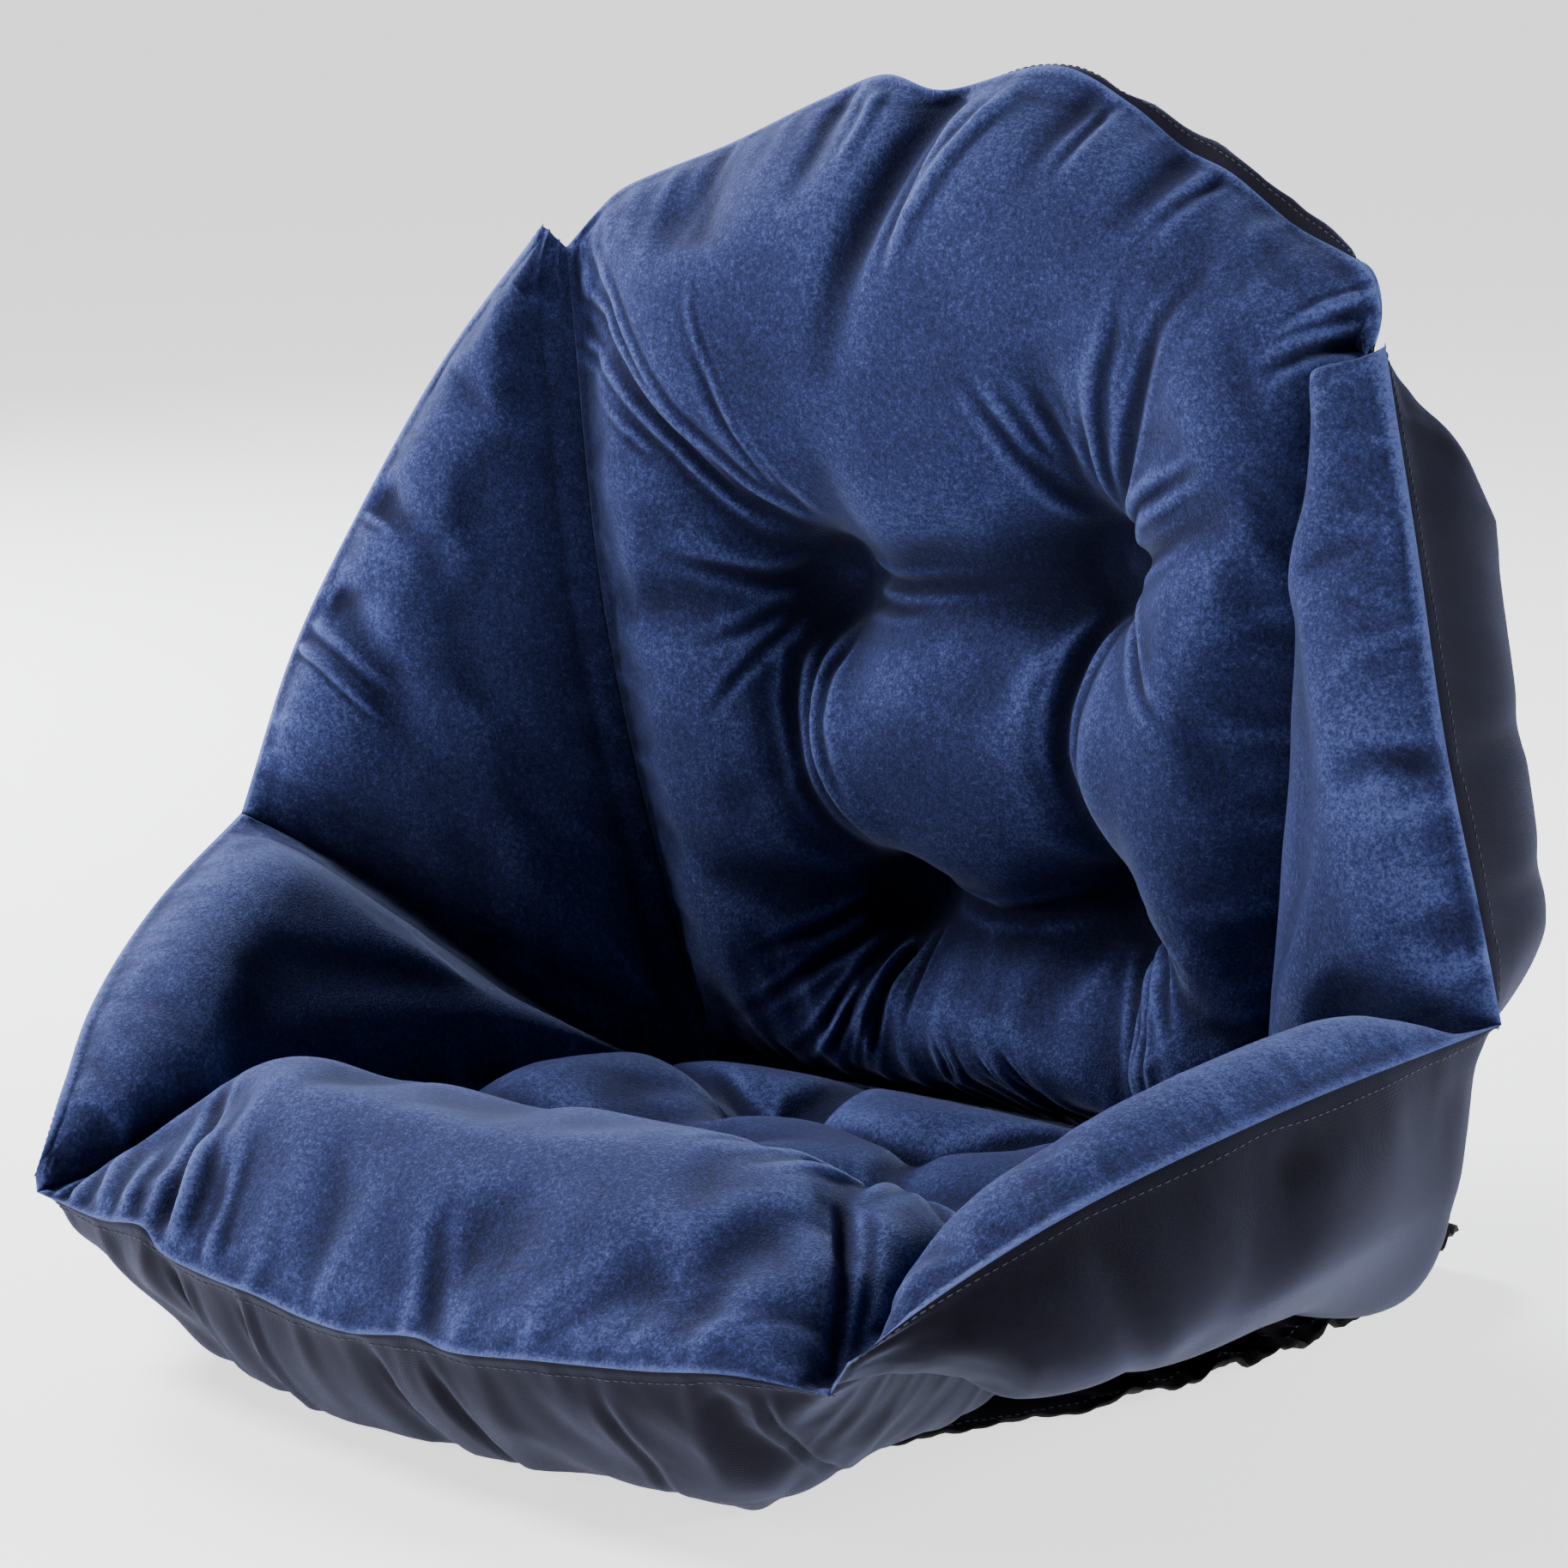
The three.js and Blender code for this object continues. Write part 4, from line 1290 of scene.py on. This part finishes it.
def build_pad(name):
    inner_times, outer_times = REFINING[name]
    ratio = inner_times // outer_times
    fine_grid, inner = fine_face(name, inner_times, "inner", CREASES)
    outer_grid, outer = fine_face(name, outer_times, "outer", SLATE_CREASES)
    outer = roll_over(outer_grid, outer)

    rows, columns = inner.shape[:2]
    inner_index = np.arange(rows * columns).reshape(rows, columns)
    coarse = inner_index[::ratio, ::ratio].copy()
    inside = np.zeros(coarse.shape, bool)
    inside[1:-1, 1:-1] = True
    coarse[inside] = rows * columns + np.arange(inside.sum())
    points = np.vstack([inner.reshape(-1, 3), outer[inside]])

    velvet_faces = quads(inner_index).tolist()
    faces = velvet_faces + reverse_faces(inner_index, coarse, ratio)
    mesh = smooth_mesh(name + "_velvet", points, faces)
    mesh.materials.append(velvet)
    mesh.materials.append(slate)
    slots = np.zeros(len(faces), np.int32)
    slots[len(velvet_faces):] = 1
    mesh.polygons.foreach_set("material_index", slots)

    left, right, near, far = fine_grid["distances"]
    flat_size = np.array((np.mean(left + right), np.mean(near + far))) * MM
    inner_flat, outer_flat = (
        np.stack([grid["u"], grid["v"]], axis=-1) * flat_size for grid in (fine_grid, outer_grid)
    )
    uv = np.vstack([inner_flat.reshape(-1, 2), outer_flat[inside]])
    corner_points = np.zeros(len(mesh.loops), np.int32)
    mesh.loops.foreach_get("vertex_index", corner_points)
    mesh.uv_layers.new(name="UVMap").data.foreach_set("uv", uv[corner_points].ravel())

    # Painted light for the fabrics: painted shade in folds, painted highlights on ridges and along
    # free seams.
    inner_tone = fold_shade_and_highlight(inner, 1) + painted_rim_highlight(name, fine_grid["distances"])
    outer_tone = fold_shade_and_highlight(outer, -1) + painted_rim_highlight(name, outer_grid["distances"])
    tones = np.concatenate([inner_tone.ravel(), outer_tone[inside]])
    finished[name] = {"outer": outer, "grid": outer_grid}
    mesh.attributes.new("fold", "FLOAT", "POINT").data.foreach_set("value", tones)

    piece = add_object(name + "_velvet", mesh)
    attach(piece, "root")
    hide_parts(name)
    print(name, len(mesh.polygons), "faces")


for name in PADS:
    build_pad(name)

# %% [markdown]
# ## Base cloth
# A thin non-slip cloth under the seat. It lies flat where the seat presses it down, and
# its loose margin rises in crinkles.

# %% Build the base cloth
BASE_ROWS = (
    {"y": BASE_FRONT, "half": 106}, {"y": -140, "half": 150}, {"y": -75, "half": 182},
    {"y": -10, "half": 218}, {"y": 55, "half": 240}, {"y": 120, "half": 246},
    {"y": 190, "half": 246}, {"y": 234, "half": 230},
)
BASE = {"columns": 150, "rows": 140, "flat_half": 172, "flat_back": 186, "margin": 56, "lift": 6}
HEM = {"width": 26, "loose": 0.45}
SWAY = {"share": 0.35, "length": 19}
CRINKLES = (
    {"height": 4.6, "pitch": 37, "turn": 0.7, "phase": 0.3},
    {"height": 3.6, "pitch": 23, "turn": 2.1, "phase": 1.9},
    {"height": 2.4, "pitch": 14, "turn": 1.2, "phase": 4.0},
    {"height": 1.4, "pitch": 8, "turn": 2.8, "phase": 2.2},
)
BUNCH = {"at": (240, 186), "half_size": (40, 56), "height": 16}

base_outline = smooth_seam([(row["half"], row["y"], 0) for row in BASE_ROWS])
across, along = np.meshgrid(
    np.linspace(-1, 1, BASE["columns"] + 1), np.linspace(0, 1, BASE["rows"] + 1),
)
edge = base_outline(along)
x = edge[..., 0] * across
y = edge[..., 1]
aside = np.clip((np.abs(x) - BASE["flat_half"]) / BASE["margin"], 0, 1)
behind = np.clip((y - BASE["flat_back"]) / BASE["margin"], 0, 1)
from_edge = edge[..., 0] * (1 - np.abs(across))
out = np.minimum(np.hypot(aside, behind), 1)
out = np.maximum(out, np.clip(1 - from_edge / HEM["width"], 0, 1) * HEM["loose"])
crumple = 0
for row in CRINKLES:
    wave = np.cos(row["turn"]) * x + np.sin(row["turn"]) * y
    wave = wave + SWAY["share"] * row["pitch"] * np.sin((x - y) / SWAY["length"])
    ridge = 1 - np.abs(np.sin(wave * np.pi / row["pitch"] + row["phase"]))
    crumple = crumple + row["height"] * ridge
lift = BASE["lift"] * out**2 + out * (crumple + mounds(np.stack([x, y], axis=-1), (BUNCH,)))
under = np.stack([x, y, lift], axis=-1)
over = under + (0, 0, CLOTH_THICKNESS)
points, faces, *_ = close_pad(over, under)
base_mesh = smooth_mesh("base_cloth_woven", points, faces.tolist())
base_mesh.materials.append(black)
base = add_object("base_cloth_woven", base_mesh)
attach(base, "root")
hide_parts("base_cloth")

# %% [markdown]
# ## Stitches
# The free seams are topstitched on the reverse, each tuft ends there in a short bar of
# thread, and the base cloth has a stitched hem. A stitch is repeated many hundred times
# along lines, so a small Geometry Nodes tree sets one grain-shaped stitch at even steps.
# Its inputs are the lines, the step, the length of a stitch, and the thickness and the
# material of the thread.

# %% Node tree that sets stitches along lines
def socket_of(tree, label, kind, in_out="INPUT"):
    return tree.interface.new_socket(label, in_out=in_out, socket_type=kind)


stitching = bpy.data.node_groups.new("stitches along lines", "GeometryNodeTree")
socket_of(stitching, "Lines", "NodeSocketGeometry")
step_socket = socket_of(stitching, "Step", "NodeSocketFloat")
length_socket = socket_of(stitching, "Stitch length", "NodeSocketFloat")
thickness_socket = socket_of(stitching, "Thread thickness", "NodeSocketFloat")
thread_socket = socket_of(stitching, "Thread", "NodeSocketMaterial")
socket_of(stitching, "Stitches", "NodeSocketGeometry", "OUTPUT")
node = {
    label: stitching.nodes.new(kind) for label, kind in {
        "in": "NodeGroupInput", "out": "NodeGroupOutput", "curve": "GeometryNodeMeshToCurve",
        "points": "GeometryNodeCurveToPoints", "grain": "GeometryNodeMeshUVSphere",
        "size": "ShaderNodeCombineXYZ", "scale": "GeometryNodeTransform",
        "place": "GeometryNodeInstanceOnPoints", "real": "GeometryNodeRealizeInstances",
        "smooth": "GeometryNodeSetShadeSmooth", "paint": "GeometryNodeSetMaterial",
    }.items()
}
node["points"].mode = "LENGTH"
set_inputs(node["grain"], {"Segments": 6, "Rings": 4, "Radius": 0.5})
for start, socket, end, target in (
    ("in", "Lines", "curve", "Mesh"), ("curve", "Curve", "points", "Curve"),
    ("in", "Step", "points", "Length"), ("in", "Thread thickness", "size", "X"),
    ("in", "Thread thickness", "size", "Y"), ("in", "Stitch length", "size", "Z"),
    ("grain", "Mesh", "scale", "Geometry"), ("size", "Vector", "scale", "Scale"),
    ("points", "Points", "place", "Points"), ("scale", "Geometry", "place", "Instance"),
    ("points", "Rotation", "place", "Rotation"), ("place", "Instances", "real", "Geometry"),
    ("real", "Geometry", "smooth", "Geometry"), ("smooth", "Geometry", "paint", "Geometry"),
    ("in", "Thread", "paint", "Material"), ("paint", "Geometry", "out", "Stitches"),
):
    stitching.links.new(node[start].outputs[socket], node[end].inputs[target])

# %% Thread
thread, tree, shader = new_material("navy thread")
thread_place = tree.nodes.new("ShaderNodeTexCoord").outputs["Object"]
twist = add_noise(tree, thread_place, 2400.0, 2)
colour = add_ramp(tree, twist, ((0.3, (0.008, 0.009, 0.018)), (0.7, (0.022, 0.026, 0.05))))
bump = add_bump(tree, twist, 0.0003, 0.4)
set_inputs(shader, {"Base Color": colour, "Roughness": 0.6, "Normal": bump})

# %% Lay the lines and stitch them
STITCH = {"step": 4.2, "length": 3.0, "thickness": 0.7}
TUFT_BAR = 7.0
LIFT = 0.15


def beside(pad_name, row_or_column):
    outer = finished[pad_name]["outer"]
    return (outer - LIFT * surface_normal(outer))[row_or_column]


def stitch(name, lines):
    mesh = bpy.data.meshes.new("lines")
    points, edges = [], []
    for line in lines:
        edges += [(len(points) + i, len(points) + i + 1) for i in range(len(line) - 1)]
        points += ((line + shift) * MM).tolist()
    mesh.from_pydata(points, edges, [])
    holder = add_object("lines", mesh)
    modifier = holder.modifiers.new("stitches", "NODES")
    modifier.node_group = stitching
    modifier[step_socket.identifier] = STITCH["step"] * MM
    modifier[length_socket.identifier] = STITCH["length"] * MM
    modifier[thickness_socket.identifier] = STITCH["thickness"] * MM
    modifier[thread_socket.identifier] = thread
    evaluated = holder.evaluated_get(bpy.context.evaluated_depsgraph_get())
    stitches = bpy.data.meshes.new_from_object(evaluated)
    stitches.name = name
    bpy.data.objects.remove(holder)
    piece = add_object(name, stitches)
    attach(piece, "root")
    print(name, len(stitches.polygons), "faces")


seam_lines = [
    beside("back_pad", np.s_[-2, :]), beside("seat_pad", np.s_[2, :]),
    beside("back_wing_left", np.s_[:, 1]), beside("back_wing_right", np.s_[:, -2]),
    beside("seat_wing_left", np.s_[:, 1]), beside("seat_wing_right", np.s_[:, -2]),
]
for name, tufts in TUFTS.items():
    for tuft in tufts:
        pad = finished[name]
        distance = distance_to(tuft, pad["grid"]["place"])
        pit = pad["outer"][np.unravel_index(distance.argmin(), distance.shape)]
        seam_lines.append(np.array([pit - (TUFT_BAR / 2, 0, 0), pit + (TUFT_BAR / 2, 0, 0)]))
stitch("seam_stitches", seam_lines)

HEM_ROW = 4
hem = over + (0, 0, LIFT)
hem_lines = [
    hem[HEM_ROW, HEM_ROW:-HEM_ROW], hem[-HEM_ROW - 1, HEM_ROW:-HEM_ROW],
    hem[HEM_ROW:-HEM_ROW, HEM_ROW], hem[HEM_ROW:-HEM_ROW, -HEM_ROW - 1],
]
stitch("hem_stitches", hem_lines)
